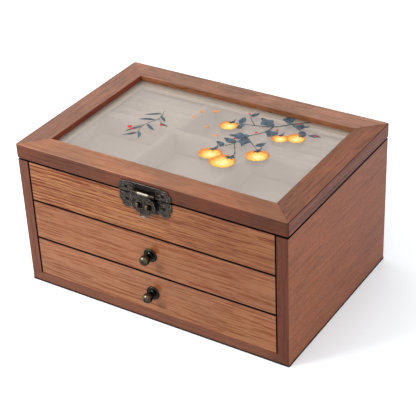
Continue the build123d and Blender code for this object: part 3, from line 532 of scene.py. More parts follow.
# ------------------------------------------------------------------------ glass
def pane():
    """Slightly milky pane: each face mirrors a little, its haze scatters some light, and the rest passes."""
    n = Net("hazy_pane")
    p = n.mapping(n.coord("Object"), scale=(1000, 1000, 1000))
    cloud = n.noise(p, scale=0.02, detail=2.0, rough=0.5)
    fine = n.noise(p, scale=0.9, detail=2.0)
    passing = n.add("ShaderNodeBsdfTransparent")
    n.put(n.mix(cloud, (0.980, 0.984, 0.972), (0.990, 0.992, 0.982)), passing.inputs["Color"])
    haze = n.add("ShaderNodeBsdfDiffuse")
    n.put(n.mix(cloud, HAZE_A, HAZE_B), haze.inputs["Color"])
    veiled = n.add("ShaderNodeMixShader")
    n.put(n.remap(n.math("ADD", cloud, n.math("MULTIPLY", fine, 0.08)), 0.3, 0.75, HAZE - 0.015, HAZE + 0.015), veiled.inputs[0])
    n.put(passing.outputs[0], veiled.inputs[1])
    n.put(haze.outputs[0], veiled.inputs[2])
    mirror = n.add("ShaderNodeBsdfGlossy")
    n.put(n.remap(fine, 0.3, 0.7, 0.015, 0.035), mirror.inputs["Roughness"])
    both = n.add("ShaderNodeMixShader")
    n.put(n.remap(cloud, 0.3, 0.7, MIRROR - 0.005, MIRROR + 0.005), both.inputs[0])
    n.put(veiled.outputs[0], both.inputs[1])
    n.put(mirror.outputs[0], both.inputs[2])
    n.put(both.outputs[0], n.out.inputs["Surface"])
    return n.mat


HAZE, MIRROR = 0.31, 0.103
HAZE_A, HAZE_B = (0.474, 0.404, 0.356), (0.493, 0.420, 0.371)
dress("lid_glass", pane())


# ----------------------------------------------------------------------- fabric
def velvet(name, seed, deep=(0.44, 0.370, 0.305), pale=(0.56, 0.475, 0.395)):
    """Short-pile velvet: patches where the pile leans, a fine nap, and a soft sheen."""
    n = Net(name)
    p = n.mapping(n.coord("Object"), loc=(seed * 7.0, seed * 3.0, 0), scale=(1000, 1000, 1000))
    lean = n.noise(p, scale=0.045, detail=3.0, rough=0.55, distortion=0.6)
    nap = n.noise(p, scale=1.6, detail=3.0, rough=0.7)
    tuft = n.noise(p, scale=4.0, detail=2.0, rough=0.6)
    f = n.math("ADD", n.math("MULTIPLY", n.remap(lean, 0.35, 0.65, smooth=True), 0.55),
               n.math("MULTIPLY", nap, 0.45))
    colour = n.mix(f, deep, pale)
    h = n.math("ADD", n.math("MULTIPLY", nap, 0.6), n.math("MULTIPLY", tuft, 0.4))
    return n.shader(Base_Color=colour, Roughness=n.remap(nap, 0.3, 0.7, 0.82, 0.95), Specular_IOR_Level=0.2,
                    Sheen_Weight=0.55, Sheen_Roughness=0.35, Sheen_Tint=(0.95, 0.88, 0.80),
                    Normal=n.bump(h, 0.0004, 0.7))


def felt(name):
    n = Net(name)
    p = n.mapping(n.coord("Object"), scale=(1000, 1000, 1000))
    mat = n.noise(p, scale=0.8, detail=4.0, rough=0.7, distortion=1.2)
    hair = n.noise(n.mapping(p, rot=(0, 0, 0.7), scale=(0.5, 4.0, 1.0)), detail=2.0, distortion=1.5)
    f = n.math("ADD", n.math("MULTIPLY", mat, 0.6), n.math("MULTIPLY", hair, 0.4))
    colour = n.mix(f, (0.008, 0.006, 0.006), (0.026, 0.019, 0.018))
    return n.shader(Base_Color=colour, Roughness=n.remap(mat, 0.3, 0.7, 0.88, 1.0), Specular_IOR_Level=0.05,
                    Sheen_Weight=0.02, Sheen_Roughness=0.5, Normal=n.bump(f, 0.0003, 0.6))


velvet_tray = velvet("beige_velvet_tray", 1, deep=(0.408, 0.348, 0.292), pale=(0.520, 0.446, 0.376))
velvet_rolls = velvet("beige_velvet_rolls", 2, deep=(0.470, 0.400, 0.334), pale=(0.598, 0.512, 0.432))
velvet_drawers = velvet("beige_velvet_drawers", 3)
felt_base = felt("dark_felt")


# ----------------------------------------------------------------- mesh helpers
def make(name, verts, faces, material, smooth=True, origin=(0, 0, 0)):
    """A mesh object from points in millimetres."""
    o = Vector(origin)
    me = bpy.data.meshes.new(name)
    me.from_pydata([tuple((Vector(v) - o) * MM) for v in verts], [], faces)
    me.validate()
    me.update()
    ob = bpy.data.objects.new(name, me)
    ob.location = o * MM
    scene.collection.objects.link(ob)
    me.materials.append(material)
    if smooth:
        me.polygons.foreach_set("use_smooth", [True] * len(me.polygons))
    return ob


def fix_normals(ob):
    import bmesh
    bm = bmesh.new()
    bm.from_mesh(ob.data)
    bmesh.ops.recalc_face_normals(bm, faces=bm.faces)
    bm.to_mesh(ob.data)
    bm.free()
    ob.data.update()
    return ob


class Parts:
    """Collects several closed shells into one mesh."""

    def __init__(self):
        self.v, self.f = [], []

    def add(self, verts, faces):
        k = len(self.v)
        self.v += [tuple(v) for v in verts]
        self.f += [tuple(i + k for i in f) for f in faces]

    def loft(self, loops, closed=False):
        """Quads between loops of the same length; the ends are closed unless the loft is a ring."""
        n, m = len(loops[0]), len(loops)
        verts = [tuple(v) for loop in loops for v in loop]
        faces = []
        for i in range(m if closed else m - 1):
            a, b = i * n, ((i + 1) % m) * n
            for j in range(n):
                faces.append((a + j, a + (j + 1) % n, b + (j + 1) % n, b + j))
        if not closed:
            for loop, base, flip in ((loops[0], 0, True), (loops[-1], (m - 1) * n, False)):
                c = sum((Vector(v) for v in loop), Vector()) / n
                verts.append(tuple(c))
                k = len(verts) - 1
                for j in range(n):
                    a, b = base + j, base + (j + 1) % n
                    faces.append((b, a, k) if flip else (a, b, k))
        self.add(verts, faces)

    def tube(self, pts, r, closed=False, sides=8, squash=None):
        """A round bar along points; r is a number or one radius per point."""
        pts = [Vector(p) for p in pts]
        m = len(pts)
        radii = [r] * m if isinstance(r, (int, float)) else list(r)
        tang = []
        for i in range(m):
            a = pts[(i - 1) % m] if closed or i > 0 else pts[i]
            b = pts[(i + 1) % m] if closed or i < m - 1 else pts[i]
            tang.append((b - a).normalized())
        ref = Vector((0, 1, 0)) if abs(tang[0].y) < 0.9 else Vector((1, 0, 0))
        side = tang[0].cross(ref).normalized()
        loops = []
        for i in range(m):
            t = tang[i]
            side = (side - t * side.dot(t)).normalized()
            other = t.cross(side)
            loop = []
            for j in range(sides):
                a = 2 * math.pi * j / sides
                loop.append(pts[i] + (side * math.cos(a) + other * math.sin(a)) * radii[i])
            loops.append(loop)
        self.loft(loops, closed)

    def dome(self, centre, axis, r, h, rings=4, sides=12, below=0.3):
        """A low round boss on a surface whose outward direction is axis."""
        c, ax = Vector(centre), Vector(axis).normalized()
        ref = Vector((0, 0, 1)) if abs(ax.z) < 0.9 else Vector((1, 0, 0))
        u = ax.cross(ref).normalized()
        w = ax.cross(u)
        loops = [[c - ax * below + (u * math.cos(t) + w * math.sin(t)) * r
                  for t in (2 * math.pi * j / sides for j in range(sides))]]
        for i in range(rings):
            a = math.pi / 2 * i / rings
            loops.append([c + ax * h * math.sin(a) + (u * math.cos(t) + w * math.sin(t)) * r * math.cos(a)
                          for t in (2 * math.pi * j / sides for j in range(sides))])
        self.loft(loops)

    def object(self, name, material, smooth=True, origin=(0, 0, 0)):
        return fix_normals(make(name, self.v, self.f, material, smooth, origin))


def wob(x, y, z, scale, seed=0.0):
    """Smooth repeatable noise, about -1 to 1."""
    return mnoise.noise(Vector((x * scale + seed * 13.7, y * scale - seed * 7.1, z * scale + seed * 3.3)))


def finish_piece(ob, body, replaced=()):
    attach(ob, body)
    if replaced:
        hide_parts(*replaced)
    return ob


# ------------------------------------------------------------- the case's inside
INX = 131.3                     # inner face of the side boards
TX, TY0, TY1 = 128.3, -78.7, 84.9
YB0, YB1 = -81.7, 87.9          # inner faces of the tray's front and back walls
Z0, PAD_TOP, LINE_TOP, PART_TOP, ROLL_TOP = 108.0, 114.0, 135.2, 136.0, 131.0
PX, P0, P1 = 42.0, 13.0, 21.0


def softbar(parts, a, b, half, z0, z1, axis, seed, bulge=0.5, round_top=True, station=3.0, ends=1.2, pucker=0.12, lean=(0.0, 0.0)):
    """A stuffed bar along X or Y from a to b; half = (low, high) limits across it; flat below, round above.
    lean: how far its two ends stand off sideways."""
    c0, c1 = half
    mid, hw = (c0 + c1) / 2, (c1 - c0) / 2
    length = b - a
    count = max(6, int(length / station))
    sect = []
    top_r = hw if round_top else min(1.6, hw * 0.8)
    for i in range(3):
        sect.append((-hw + 0.8 + (hw * 2 - 1.6) * i / 2, z0))
    side_n = 4
    for i in range(side_n + 1):
        sect.append((hw, z0 + 0.7 + (z1 - top_r - z0 - 0.7) * i / side_n))
    arc = 9 if round_top else 4
    if round_top:
        for i in range(1, arc):
            t = math.pi * i / arc
            sect.append((hw * math.cos(t), z1 - top_r + top_r * math.sin(t)))
    else:
        for i in range(1, arc + 1):
            t = math.pi / 2 * i / arc
            sect.append((hw - top_r + top_r * math.cos(t), z1 - top_r + top_r * math.sin(t)))
        for i in range(arc):
            t = math.pi / 2 * (1 + i / arc)
            sect.append((-hw + top_r + top_r * math.cos(t), z1 - top_r + top_r * math.sin(t)))
    for i in range(side_n + 1):
        sect.append((-hw, z1 - top_r - (z1 - top_r - z0 - 0.7) * i / side_n))
    loops = []
    stations = [(0.0, 0.72), (0.25, 0.88), (0.6, 0.96)]
    stations = [(s * ends, k) for s, k in stations] + [(ends + (length - 2 * ends) * i / count, 1.0) for i in range(count + 1)] + [
        (length - s * ends, k) for s, k in reversed(stations)]
    zc = (z0 + z1) / 2
    for s, k in stations:
        along = a + s
        t = max(0.0, min(1.0, s / length))
        swell = 1.0 - bulge * 0.06 * (1 - math.sin(math.pi * t) ** 0.35)
        loop = []
        for u, z in sect:
            uu = u * k * swell
            zz = zc + (z - zc) * (0.55 + 0.45 * k) if z > z0 + 0.1 else z
            side_amount = max(0.0, 1 - abs(z - (z1 + z0) / 2) / ((z1 - z0) / 2))
            uu *= 1.0 - 0.035 * bulge + 0.035 * bulge * side_amount
            w = wob(along * (1.0 if axis == "X" else 0.6), u * 3.0, z, 0.22, seed)
            w2 = wob(along, u, z, 0.7, seed + 4)
            uu -= (abs(w) * 0.10 + 0.05 * w2) * (1 if u > 0 else -1) * bulge
            if z > z0 + 1:
                zz += (w * 0.16 - pucker * abs(w2)) * min(1.0, (z - z0) / (z1 - z0)) - 0.08
            off = mid + uu + lean[0] + (lean[1] - lean[0]) * t
            loop.append((along, off, zz) if axis == "X" else (off, along, zz))
        loops.append(loop)
    parts.loft(loops)


SLANT = (-4.0, -2.0)            # the front left partition doesn't stand quite straight


# Padded walls of the tray: four strips, softly drawn in where the partitions press.
def wall_strip(parts, axis, a, b, back, front, seed, presses):
    """A thin pad on a wall: back is the wall's face, front the pad's face."""
    sgn = 1 if front > back else -1
    thick = abs(front - back)
    nz, step = 12, 2.4
    count = int((b - a) / step)
    grid = []
    for i in range(count + 1):
        s = a + (b - a) * i / count
        loop = []
        press = sum(math.exp(-((s - c) / 5.5) ** 2) for c in presses)
        for j in range(nz + 1):
            z = Z0 + 0.2 + (LINE_TOP - Z0 - 0.2) * j / nz
            h = (z - Z0) / (LINE_TOP - Z0)
            t = thick * (0.93 - 0.16 * press - 0.10 * (1 - math.sin(math.pi * min(1, h * 1.05)) ** 0.6))
            t += 0.14 * wob(s, z, 0, 0.11, seed) - 0.05 * abs(wob(s, z, 0, 0.5, seed + 2))
            loop.append((s, t, z))
        # round over the top edge
        cap = [(s, thick * 0.82, LINE_TOP + 0.0), (s, thick * 0.55, LINE_TOP + 0.35), (s, thick * 0.25, LINE_TOP + 0.3)]
        loop[-1] = (s, thick * 0.90, LINE_TOP - 0.5)
        back_pts = [(s, 0.02, LINE_TOP), (s, 0.02, Z0 + 0.2)]
        loop = loop + cap + back_pts
        if axis == "X":
            grid.append([(p[0], back + sgn * p[1], p[2]) for p in loop])
        else:
            grid.append([(back + sgn * p[1], p[0], p[2]) for p in loop])
    parts.loft(grid)


walls = Parts()
wall_strip(walls, "X", -INX + 0.1, INX - 0.1, YB0, TY0, 1, (-PX + SLANT[0], PX))
wall_strip(walls, "X", -INX + 0.1, INX - 0.1, YB1, TY1, 2, (-PX, PX))
wall_strip(walls, "Y", TY0 - 0.6, TY1 + 0.6, -INX, -TX, 3, ((P0 + P1) / 2,))
wall_strip(walls, "Y", TY0 - 0.6, TY1 + 0.6, INX, TX, 4, ((P0 + P1) / 2,))
finish_piece(walls.object("tray_wall_padding", velvet_tray), "case", ("tray_wall_lining",))


# The tray's floor: one pad, crowned in each cell and pressed down at its walls.
def floor_pad():
    xs_n, ys_n = 130, 84
    verts, faces = [], []

    def crown(x, y):
        edges = [abs(x + TX), abs(x - TX), abs(y - TY0), abs(y - TY1)]
        slant = SLANT[0] + (SLANT[1] - SLANT[0]) * (y - TY0) / (P0 - TY0) if y < P0 else 0.0
        for c in (-PX + slant, PX):
            edges.append(max(0.0, abs(x - c) - 4.0))
        edges.append(max(0.0, abs(y - (P0 + P1) / 2) - 4.0))
        d = min(edges)
        h = 1.0 - math.exp(-d / 5.0)
        return PAD_TOP - 1.5 + 1.7 * h + 0.12 * wob(x, y, 0, 0.05, 5) + 0.05 * wob(x, y, 0, 0.3, 6)
    for j in range(ys_n + 1):
        for i in range(xs_n + 1):
            x = -TX + 0.15 + (2 * TX - 0.3) * i / xs_n
            y = TY0 + 0.15 + (TY1 - TY0 - 0.3) * j / ys_n
            verts.append((x, y, crown(x, y)))
    w = xs_n + 1
    for j in range(ys_n):
        for i in range(xs_n):
            faces.append((j * w + i, j * w + i + 1, (j + 1) * w + i + 1, (j + 1) * w + i))
    ring = [i for i in range(w)] + [(j + 1) * w - 1 for j in range(1, ys_n)] + [
        ys_n * w + i for i in reversed(range(w))] + [j * w for j in reversed(range(1, ys_n))]
    base = len(verts)
    for k in ring:
        x, y, _ = verts[k]
        verts.append((x, y, Z0 + 0.1))
    m = len(ring)
    for k in range(m):
        faces.append((ring[k], base + k, base + (k + 1) % m, ring[(k + 1) % m]))
    verts.append((0, 0, Z0 + 0.1))
    c = len(verts) - 1
    for k in range(m):
        faces.append((base + (k + 1) % m, base + k, c))
    return fix_normals(make("tray_floor_padding", verts, faces, velvet_tray))


finish_piece(floor_pad(), "case", ("tray_floor_pad",))

long_bar = Parts()
softbar(long_bar, -TX + 0.2, TX - 0.2, (P0, P1), PAD_TOP - 1.2, PART_TOP, "X", 11, bulge=1.0)
finish_piece(long_bar.object("tray_long_partition_padding", velvet_tray), "case", ("tray_long_partition",))

cross_bars = Parts()
k = 0
for s in (-1, 1):
    for a, b in ((TY0 + 0.2, P0 - 0.1), (P1 + 0.1, TY1 - 0.2)):
        softbar(cross_bars, a, b, (s * PX - 4.0, s * PX + 4.0), PAD_TOP - 1.2, PART_TOP, "Y", 21 + k, bulge=1.0,
                lean=SLANT if k == 0 else (0.0, 0.0))
        k += 1
finish_piece(cross_bars.object("tray_cross_partition_padding", velvet_tray), "case",
             ("tray_cross_partitions",))

PITCH = (TY1 - P1) / 5
for side, x0, x1 in (("left", -TX, -PX - 4.0), ("right", PX + 4.0, TX)):
    rolls = Parts()
    for i in range(5):
        y0 = P1 + i * PITCH + 0.25
        y1 = y0 + PITCH - 0.5
        softbar(rolls, x0 + 0.4, x1 - 0.4, (y0, y1), PAD_TOP - 1.0, ROLL_TOP, "X", 31 + i + (7 if side == "left" else 0),
                bulge=1.0, station=2.4, ends=2.4)
    finish_piece(rolls.object("ring_roll_padding_%s" % side, velvet_rolls), "case",
                 ("ring_rolls_%s" % side,))


# Felt under the base: a thin near-black sheet, set 0.35 mm out all round, with soft, slightly ragged edges. It is a
# real part, and the dark line it shows under the bottom edges is also a painted shade line there.
def base_felt():
    hx, y0, y1 = 142.7 + 0.35, -96.9 - 0.35, 96.9 + 0.35
    r = 1.4
    outline = []
    for cx, cy, a0 in ((hx - r, y1 - r, 0), (-hx + r, y1 - r, 90), (-hx + r, y0 + r, 180), (hx - r, y0 + r, 270)):
        for i in range(7):
            a = math.radians(a0 + 15 * i)
            outline.append((cx + r * math.cos(a), cy + r * math.sin(a)))
    fine = []
    for i, p in enumerate(outline):
        q = outline[(i + 1) % len(outline)]
        d = math.dist(p, q)
        m = max(1, int(d / 4.0))
        for j in range(m):
            fine.append((p[0] + (q[0] - p[0]) * j / m, p[1] + (q[1] - p[1]) * j / m))
    loops = []
    for z, inset in ((0.02, 4.0), (0.0, 0.15), (0.08, 0.03), (0.8, 0.0), (1.50, 0.02), (1.59, 0.12), (1.59, 4.0)):
        loop = []
        for x, y in fine:
            k = inset + 0.03 + 0.03 * wob(x, y, z, 0.35, 8)
            n = Vector((x, y, 0)) - Vector((max(-hx + 6, min(hx - 6, x)), max(y0 + 6, min(y1 - 6, y)), 0))
            n.normalize()
            loop.append((x - n.x * k, y - n.y * k, z))
        loops.append(loop)
    parts = Parts()
    parts.loft(loops)
    return parts.object("base_felt_sheet", felt_base)


finish_piece(base_felt(), "case", ("base_felt",))


# Drawer linings: a velvet tray with rounded inner corners in each drawer.
def drawer_lining(name, zb):
    ix, y0, y1 = 123.2, -87.7, 75.0
    f0, top, t = zb + 6.0, zb + 36.0 - 2.5, 1.25

    def rect(inset, r, z, waver=0.0):
        r = max(0.2, r)
        x_, ya, yb = ix - inset, y0 + inset, y1 - inset
        pts = []
        corners = ((x_ - r, yb - r, 0), (-x_ + r, yb - r, 90), (-x_ + r, ya + r, 180), (x_ - r, ya + r, 270))
        raw = []
        for cx, cy, a0 in corners:
            for i in range(5):
                a = math.radians(a0 + 22.5 * i)
                raw.append((cx + r * math.cos(a), cy + r * math.sin(a)))
        for i, p in enumerate(raw):
            q = raw[(i + 1) % len(raw)]
            m = 24 if i % 5 == 4 else 1
            for j in range(m):
                pts.append((p[0] + (q[0] - p[0]) * j / m, p[1] + (q[1] - p[1]) * j / m))
        out = []
        for x, y in pts:
            k = waver * wob(x, y, z, 0.09, zb)
            n = Vector((x, y - (ya + yb) / 2)).normalized()
            out.append((x - n.x * k, y - n.y * k, z))
        return out
    outer = [rect(0.02, 0.3, f0 + 0.02), rect(0.02, 0.3, top - 0.2), rect(0.35, 0.5, top + 0.12), rect(0.9, 0.8, top)]
    inner = []
    for i in range(7):
        z = top - 0.25 - (top - f0 - 4.0) * i / 6
        inner.append(rect(t, 1.6, z, 0.10))
    for a in (20, 45, 70, 90):
        a = math.radians(a)
        inner.append(rect(t + 1.8 * (1 - math.cos(a)), 1.8 + 1.0 * (1 - math.cos(a)),
                          f0 + 1.35 + 2.0 * (1 - math.sin(a)), 0.10))
    floor = []
    for k in (6.0, 14.0, 30.0, 50.0, 70.0):
        floor.append(rect(t + 1.8 + k, 2.0, f0 + 1.45 + 0.10 * math.sin(k), 0.10))
    parts = Parts()
    parts.loft(outer + inner + floor)
    return parts.object(name + "_lining_velvet", velvet_drawers)


for name, zb in (("upper_drawer", 54.8), ("lower_drawer", 10.6)):
    finish_piece(drawer_lining(name, zb), name, (name + "_lining",))


# ----------------------------------------------------------- relief on the latch
LX = 0.5
UP_Y, LO_Y = -98.4, -97.6        # faces of the upper and the lower plate


def arc3(a, m, b, n=8):
    """Points on the arc through three points in a plane."""
    ax, ay = a
    bx, by = m
    cx, cy = b
    d = 2 * (ax * (by - cy) + bx * (cy - ay) + cx * (ay - by))
    if abs(d) < 1e-6:
        return [(ax + (cx - ax) * i / n, ay + (cy - ay) * i / n) for i in range(n + 1)]
    ux = ((ax * ax + ay * ay) * (by - cy) + (bx * bx + by * by) * (cy - ay) + (cx * cx + cy * cy) * (ay - by)) / d
    uy = ((ax * ax + ay * ay) * (cx - bx) + (bx * bx + by * by) * (ax - cx) + (cx * cx + cy * cy) * (bx - ax)) / d
    r = math.hypot(ax - ux, ay - uy)
    t0, t1, t2 = (math.atan2(y - uy, x - ux) for x, y in (a, m, b))
    while t1 < t0:
        t1 += 2 * math.pi
    while t2 < t0:
        t2 += 2 * math.pi
    if t1 > t2:
        t2 -= 2 * math.pi
    return [(ux + r * math.cos(t0 + (t2 - t0) * i / n), uy + r * math.sin(t0 + (t2 - t0) * i / n)) for i in range(n + 1)]


def outline(half):
    """The full edge of a plate from its right half: points in order, both halves."""
    right = []
    for seg in half:
        pts = [seg[0], seg[1]] if len(seg) == 2 else arc3(*seg)
        right += pts if not right else pts[1:]
    left = [(-x, z) for x, z in reversed(right)]
    out = right + (left[1:] if abs(right[-1][0]) < 1e-6 else left)
    return out


def inset(pts, d, closed=False):
    """Moves a line of points to its left by d."""
    out = []
    n = len(pts)
    for i, p in enumerate(pts):
        a = pts[(i - 1) % n] if closed or i > 0 else p
        b = pts[(i + 1) % n] if closed or i < n - 1 else p
        t = Vector((b[0] - a[0], b[1] - a[1]))
        if t.length < 1e-9:
            continue
        t.normalize()
        out.append((p[0] - t.y * d, p[1] + t.x * d))
    return out


def spiral(cx, cz, r0, r1, start, turns, n=26):
    """Points of a scroll from radius r0 to r1 round a centre."""
    return [(cx + (r0 + (r1 - r0) * i / n) * math.cos(math.radians(start + 360 * turns * i / n)),
             cz + (r0 + (r1 - r0) * i / n) * math.sin(math.radians(start + 360 * turns * i / n))) for i in range(n + 1)]


half_up = [((27.6, 136.6), (27.8, 140.4)), ((27.8, 140.4), (27.3, 142.7), (25.3, 143.7)),
           ((25.3, 143.7), (25.0, 146.2), (22.8, 147.5)), ((22.8, 147.5), (20.2, 147.3), (17.6, 148.2))]
half_lo = [((27.6, 135.1), (27.6, 129.2)), ((27.6, 129.2), (27.1, 126.3), (24.9, 124.5)),
           ((24.9, 124.5), (24.5, 121.3), (21.4, 119.6)), ((21.4, 119.6), (18.4, 119.5), (16.2, 121.3)),
           ((16.2, 121.3), (11.0, 120.2), (6.5, 121.4)), ((6.5, 121.4), (3.6, 120.4), (0.0, 120.0))]
half_hasp = [((7.1, 137.5), (10.8, 134.2), (12.4, 129.4)), ((12.4, 129.4), (12.6, 126.4), (11.6, 123.7)),
             ((11.6, 123.7), (10.2, 121.7), (7.9, 121.3)), ((7.9, 121.3), (6.6, 119.9), (4.6, 119.5)),
             ((4.6, 119.5), (3.0, 117.3), (0.0, 116.6))]


def on_plate(parts, pts, y, r, closed=False, taper=False, sides=7, sink=0.25):
    """A raised line on a flat plate whose face is at y."""
    n = len(pts)
    radii = r if not taper else [r * (1.0 - 0.55 * i / (n - 1)) for i in range(n)]
    parts.tube([(LX + x, y + (r if isinstance(r, (int, float)) else 0.3) * sink, z) for x, z in pts], radii, closed, sides)


# upper plate: rim, nail rings, and a scroll on each side
upper = Parts()
rim_up = outline(half_up)
on_plate(upper, inset(rim_up, 0.55), UP_Y, 0.34)
for s in (-1, 1):
    on_plate(upper, spiral(s * 19.2, 141.4, 2.15, 2.15, 0, 1.0, 20)[:-1], UP_Y, 0.26, closed=True)
    on_plate(upper, [(s * x, z) for x, z in spiral(23.7, 139.8, 2.6, 0.5, 100, 1.15)], UP_Y, 0.32, taper=True)
    on_plate(upper, [(s * x, z) for x, z in spiral(14.4, 144.0, 2.9, 0.6, -40, -1.1)], UP_Y, 0.32, taper=True)
    on_plate(upper, [(s * x, z) for x, z in arc3((21.6, 145.3), (19.2, 144.4), (17.0, 146.3))], UP_Y, 0.28)
    for x, z, r in ((22.3, 144.3, 0.55), (25.3, 137.9, 0.5), (16.2, 138.2, 0.6), (9.0, 146.5, 0.45), (12.6, 141.2, 0.45)):
        upper.dome((LX + s * x, UP_Y, z), (0, -1, 0), r, r * 0.75)
finish_piece(upper.object("latch_upper_relief", bronze_relief), "lid")

# lower plate: rim, nail rings, scrolls towards the outer lobes
lower = Parts()
rim_lo = outline(half_lo)
on_plate(lower, inset(rim_lo, -0.55), LO_Y, 0.34)
for s in (-1, 1):
    on_plate(lower, spiral(s * 19.2, 128.5, 2.15, 2.15, 0, 1.0, 20)[:-1], LO_Y, 0.26, closed=True)
    on_plate(lower, [(s * x, z) for x, z in spiral(23.4, 132.9, 2.9, 0.6, -90, 1.15)], LO_Y, 0.34, taper=True)
    on_plate(lower, [(s * x, z) for x, z in spiral(21.9, 123.6, 2.3, 0.5, 40, -1.1)], LO_Y, 0.32, taper=True)
    on_plate(lower, [(s * x, z) for x, z in spiral(16.2, 133.4, 2.4, 0.5, 200, -1.1)], LO_Y, 0.30, taper=True)
    on_plate(lower, [(s * x, z) for x, z in arc3((18.6, 124.6), (15.6, 126.4), (14.6, 129.6))], LO_Y, 0.30)
    on_plate(lower, [(s * x, z) for x, z in arc3((24.6, 127.4), (22.8, 126.9), (22.4, 128.6))], LO_Y, 0.28)
    on_plate(lower, [(s * x, z) for x, z in arc3((13.9, 123.6), (16.4, 123.2), (18.0, 121.6))], LO_Y, 0.28)
    for x, z, r in ((25.2, 130.0, 0.55), (19.4, 132.0, 0.6), (19.6, 121.6, 0.5), (15.2, 122.3, 0.5), (25.6, 135.0, 0.45)):
        lower.dome((LX + s * x, LO_Y, z), (0, -1, 0), r, r * 0.75)
finish_piece(lower.object("latch_lower_relief", bronze_relief), "case")

# hasp: its face is curved, so the lines follow it
FRONT = [(139.6, -102.0), (137.8, -101.95), (135.0, -101.25), (131.5, -100.95), (122.8, -100.95), (120.0, -101.5), (116.9, -103.0)]


def hasp_y(z):
    for (za, ya), (zb_, yb_) in zip(FRONT, FRONT[1:]):
        if zb_ <= z <= za:
            t = (za - z) / (za - zb_)
            i = FRONT.index((za, ya))
            y_prev = FRONT[max(0, i - 1)][1]
            y_next = FRONT[min(len(FRONT) - 1, i + 2)][1]
            m0, m1 = (yb_ - y_prev) / 2, (y_next - ya) / 2
            return ((2 * t ** 3 - 3 * t ** 2 + 1) * ya + (t ** 3 - 2 * t ** 2 + t) * m0
                    + (-2 * t ** 3 + 3 * t ** 2) * yb_ + (t ** 3 - t ** 2) * m1)
    return FRONT[0][1] if z > 139 else FRONT[-1][1]


def on_hasp(parts, pts, r, closed=False, taper=False, sides=7):
    n = len(pts)
    radii = r if not taper else [r * (1.0 - 0.55 * i / (n - 1)) for i in range(n)]
    parts.tube([(LX + x, hasp_y(z) + 0.05, z) for x, z in pts], radii, closed, sides)


hasp_relief = Parts()
on_hasp(hasp_relief, inset(outline(half_hasp), -0.5), 0.36)
for s in (-1, 1):
    on_hasp(hasp_relief, [(s * x, z) for x, z in spiral(7.0, 133.2, 2.3, 0.5, 60, 1.15)], 0.32, taper=True)
    on_hasp(hasp_relief, [(s * x, z) for x, z in arc3((1.0, 135.8), (3.4, 134.4), (3.8, 131.9))], 0.30)
    on_hasp(hasp_relief, [(s * x, z) for x, z in spiral(5.0, 122.6, 1.3, 0.4, 150, -1.0)], 0.28, taper=True)
    hasp_relief.dome((LX + s * 10.4, hasp_y(128.0), 126.4), (0, -1, 0), 0.6, 0.45)
    hasp_relief.dome((LX + s * 2.6, hasp_y(119.3), 119.3), (0, -1, 0), 0.55, 0.4)
for lx, w in ((-5.5, 1.0), (4.6, 1.0)):
    # raised border round each slot and its lug
    cx0, cx1, z0, z1 = lx - 1.9, lx + 4.75, 124.7, 131.5
    ring = []
    for cx, cz, a0 in ((cx1 - 1.3, z1 - 1.3, 0), (cx0 + 1.3, z1 - 1.3, 90), (cx0 + 1.3, z0 + 1.3, 180), (cx1 - 1.3, z0 + 1.3, 270)):
        for i in range(5):
            a = math.radians(a0 + 22.5 * i)
            ring.append((cx + 1.3 * math.cos(a), cz + 1.3 * math.sin(a)))
    on_hasp(hasp_relief, ring, 0.30, closed=True)
hasp_relief.dome((LX, hasp_y(133.6), 133.6), (0, -1, 0), 0.8, 0.5)
finish_piece(hasp_relief.object("hasp_relief", bronze_relief), "hasp")


# ------------------------------------------------------------ print on the pane
GZ = 145.5


def ink(name, a, b, scale=0.35, rough=0.4, contrast=(0.35, 0.65)):
    """Printed colour with brush-like density changes."""
    n = Net(name)
    p = n.mapping(n.coord("Object"), scale=(1000, 1000, 1000))
    f = n.noise(p, scale=scale, detail=4.0, rough=0.6, distortion=0.8)
    grain = n.noise(p, scale=3.0, detail=2.0)
    f = n.math("ADD", n.math("MULTIPLY", f, 0.85), n.math("MULTIPLY", grain, 0.15))
    colour = n.mix(n.remap(f, *contrast), a, b)
    return n.shader(Base_Color=colour, Roughness=n.remap(grain, 0.3, 0.7, rough - 0.05, rough + 0.1),
                    Specular_IOR_Level=0.25, Normal=n.bump(f, 0.00003, 0.4))


def fruit_ink(name, seed, r):
    """Round fruit: yellow heart, orange towards the rim, speckled."""
    n = Net(name)
    p = n.mapping(n.coord("Object"), scale=(1000, 1000, 1000))
    d = n.math("DIVIDE", n.vmath("LENGTH", n.mapping(p, loc=(-0.18 * r, 0.22 * r, 0), scale=(1, 1, 0))), r)
    blot = n.noise(n.mapping(p, loc=(seed, seed * 2, 0)), scale=0.35, detail=3.0, distortion=0.8)
    speck = n.noise(n.mapping(p, loc=(seed, 0, 0)), scale=1.6, detail=2.0)
    f = n.math("ADD", d, n.math("MULTIPLY", n.math("SUBTRACT", blot, 0.5), 0.9))
    colour = n.ramp(f, [(0.0, (0.80, 0.68, 0.36)), (0.42, (0.74, 0.52, 0.14)), (0.76, (0.66, 0.34, 0.04)),
                        (1.0, (0.56, 0.15, 0.010))])
    colour = n.mix(n.remap(speck, 0.56, 0.66, 0.0, 0.55), colour, (0.55, 0.15, 0.01))
    return n.shader(Base_Color=colour, Roughness=n.remap(speck, 0.3, 0.7, 0.4, 0.5), Specular_IOR_Level=0.25,
                    Normal=n.bump(speck, 0.00003, 0.4))


ink_blue = ink("slate_blue_print", (0.009, 0.019, 0.031), (0.066, 0.110, 0.140), scale=0.32, contrast=(0.42, 0.60))
ink_dark = ink("dark_print", (0.012, 0.014, 0.017), (0.040, 0.045, 0.052))
ink_red = ink("red_print", (0.50, 0.008, 0.008), (0.36, 0.006, 0.006))
ink_petal = ink("orange_print", (0.60, 0.27, 0.04), (0.50, 0.12, 0.02))


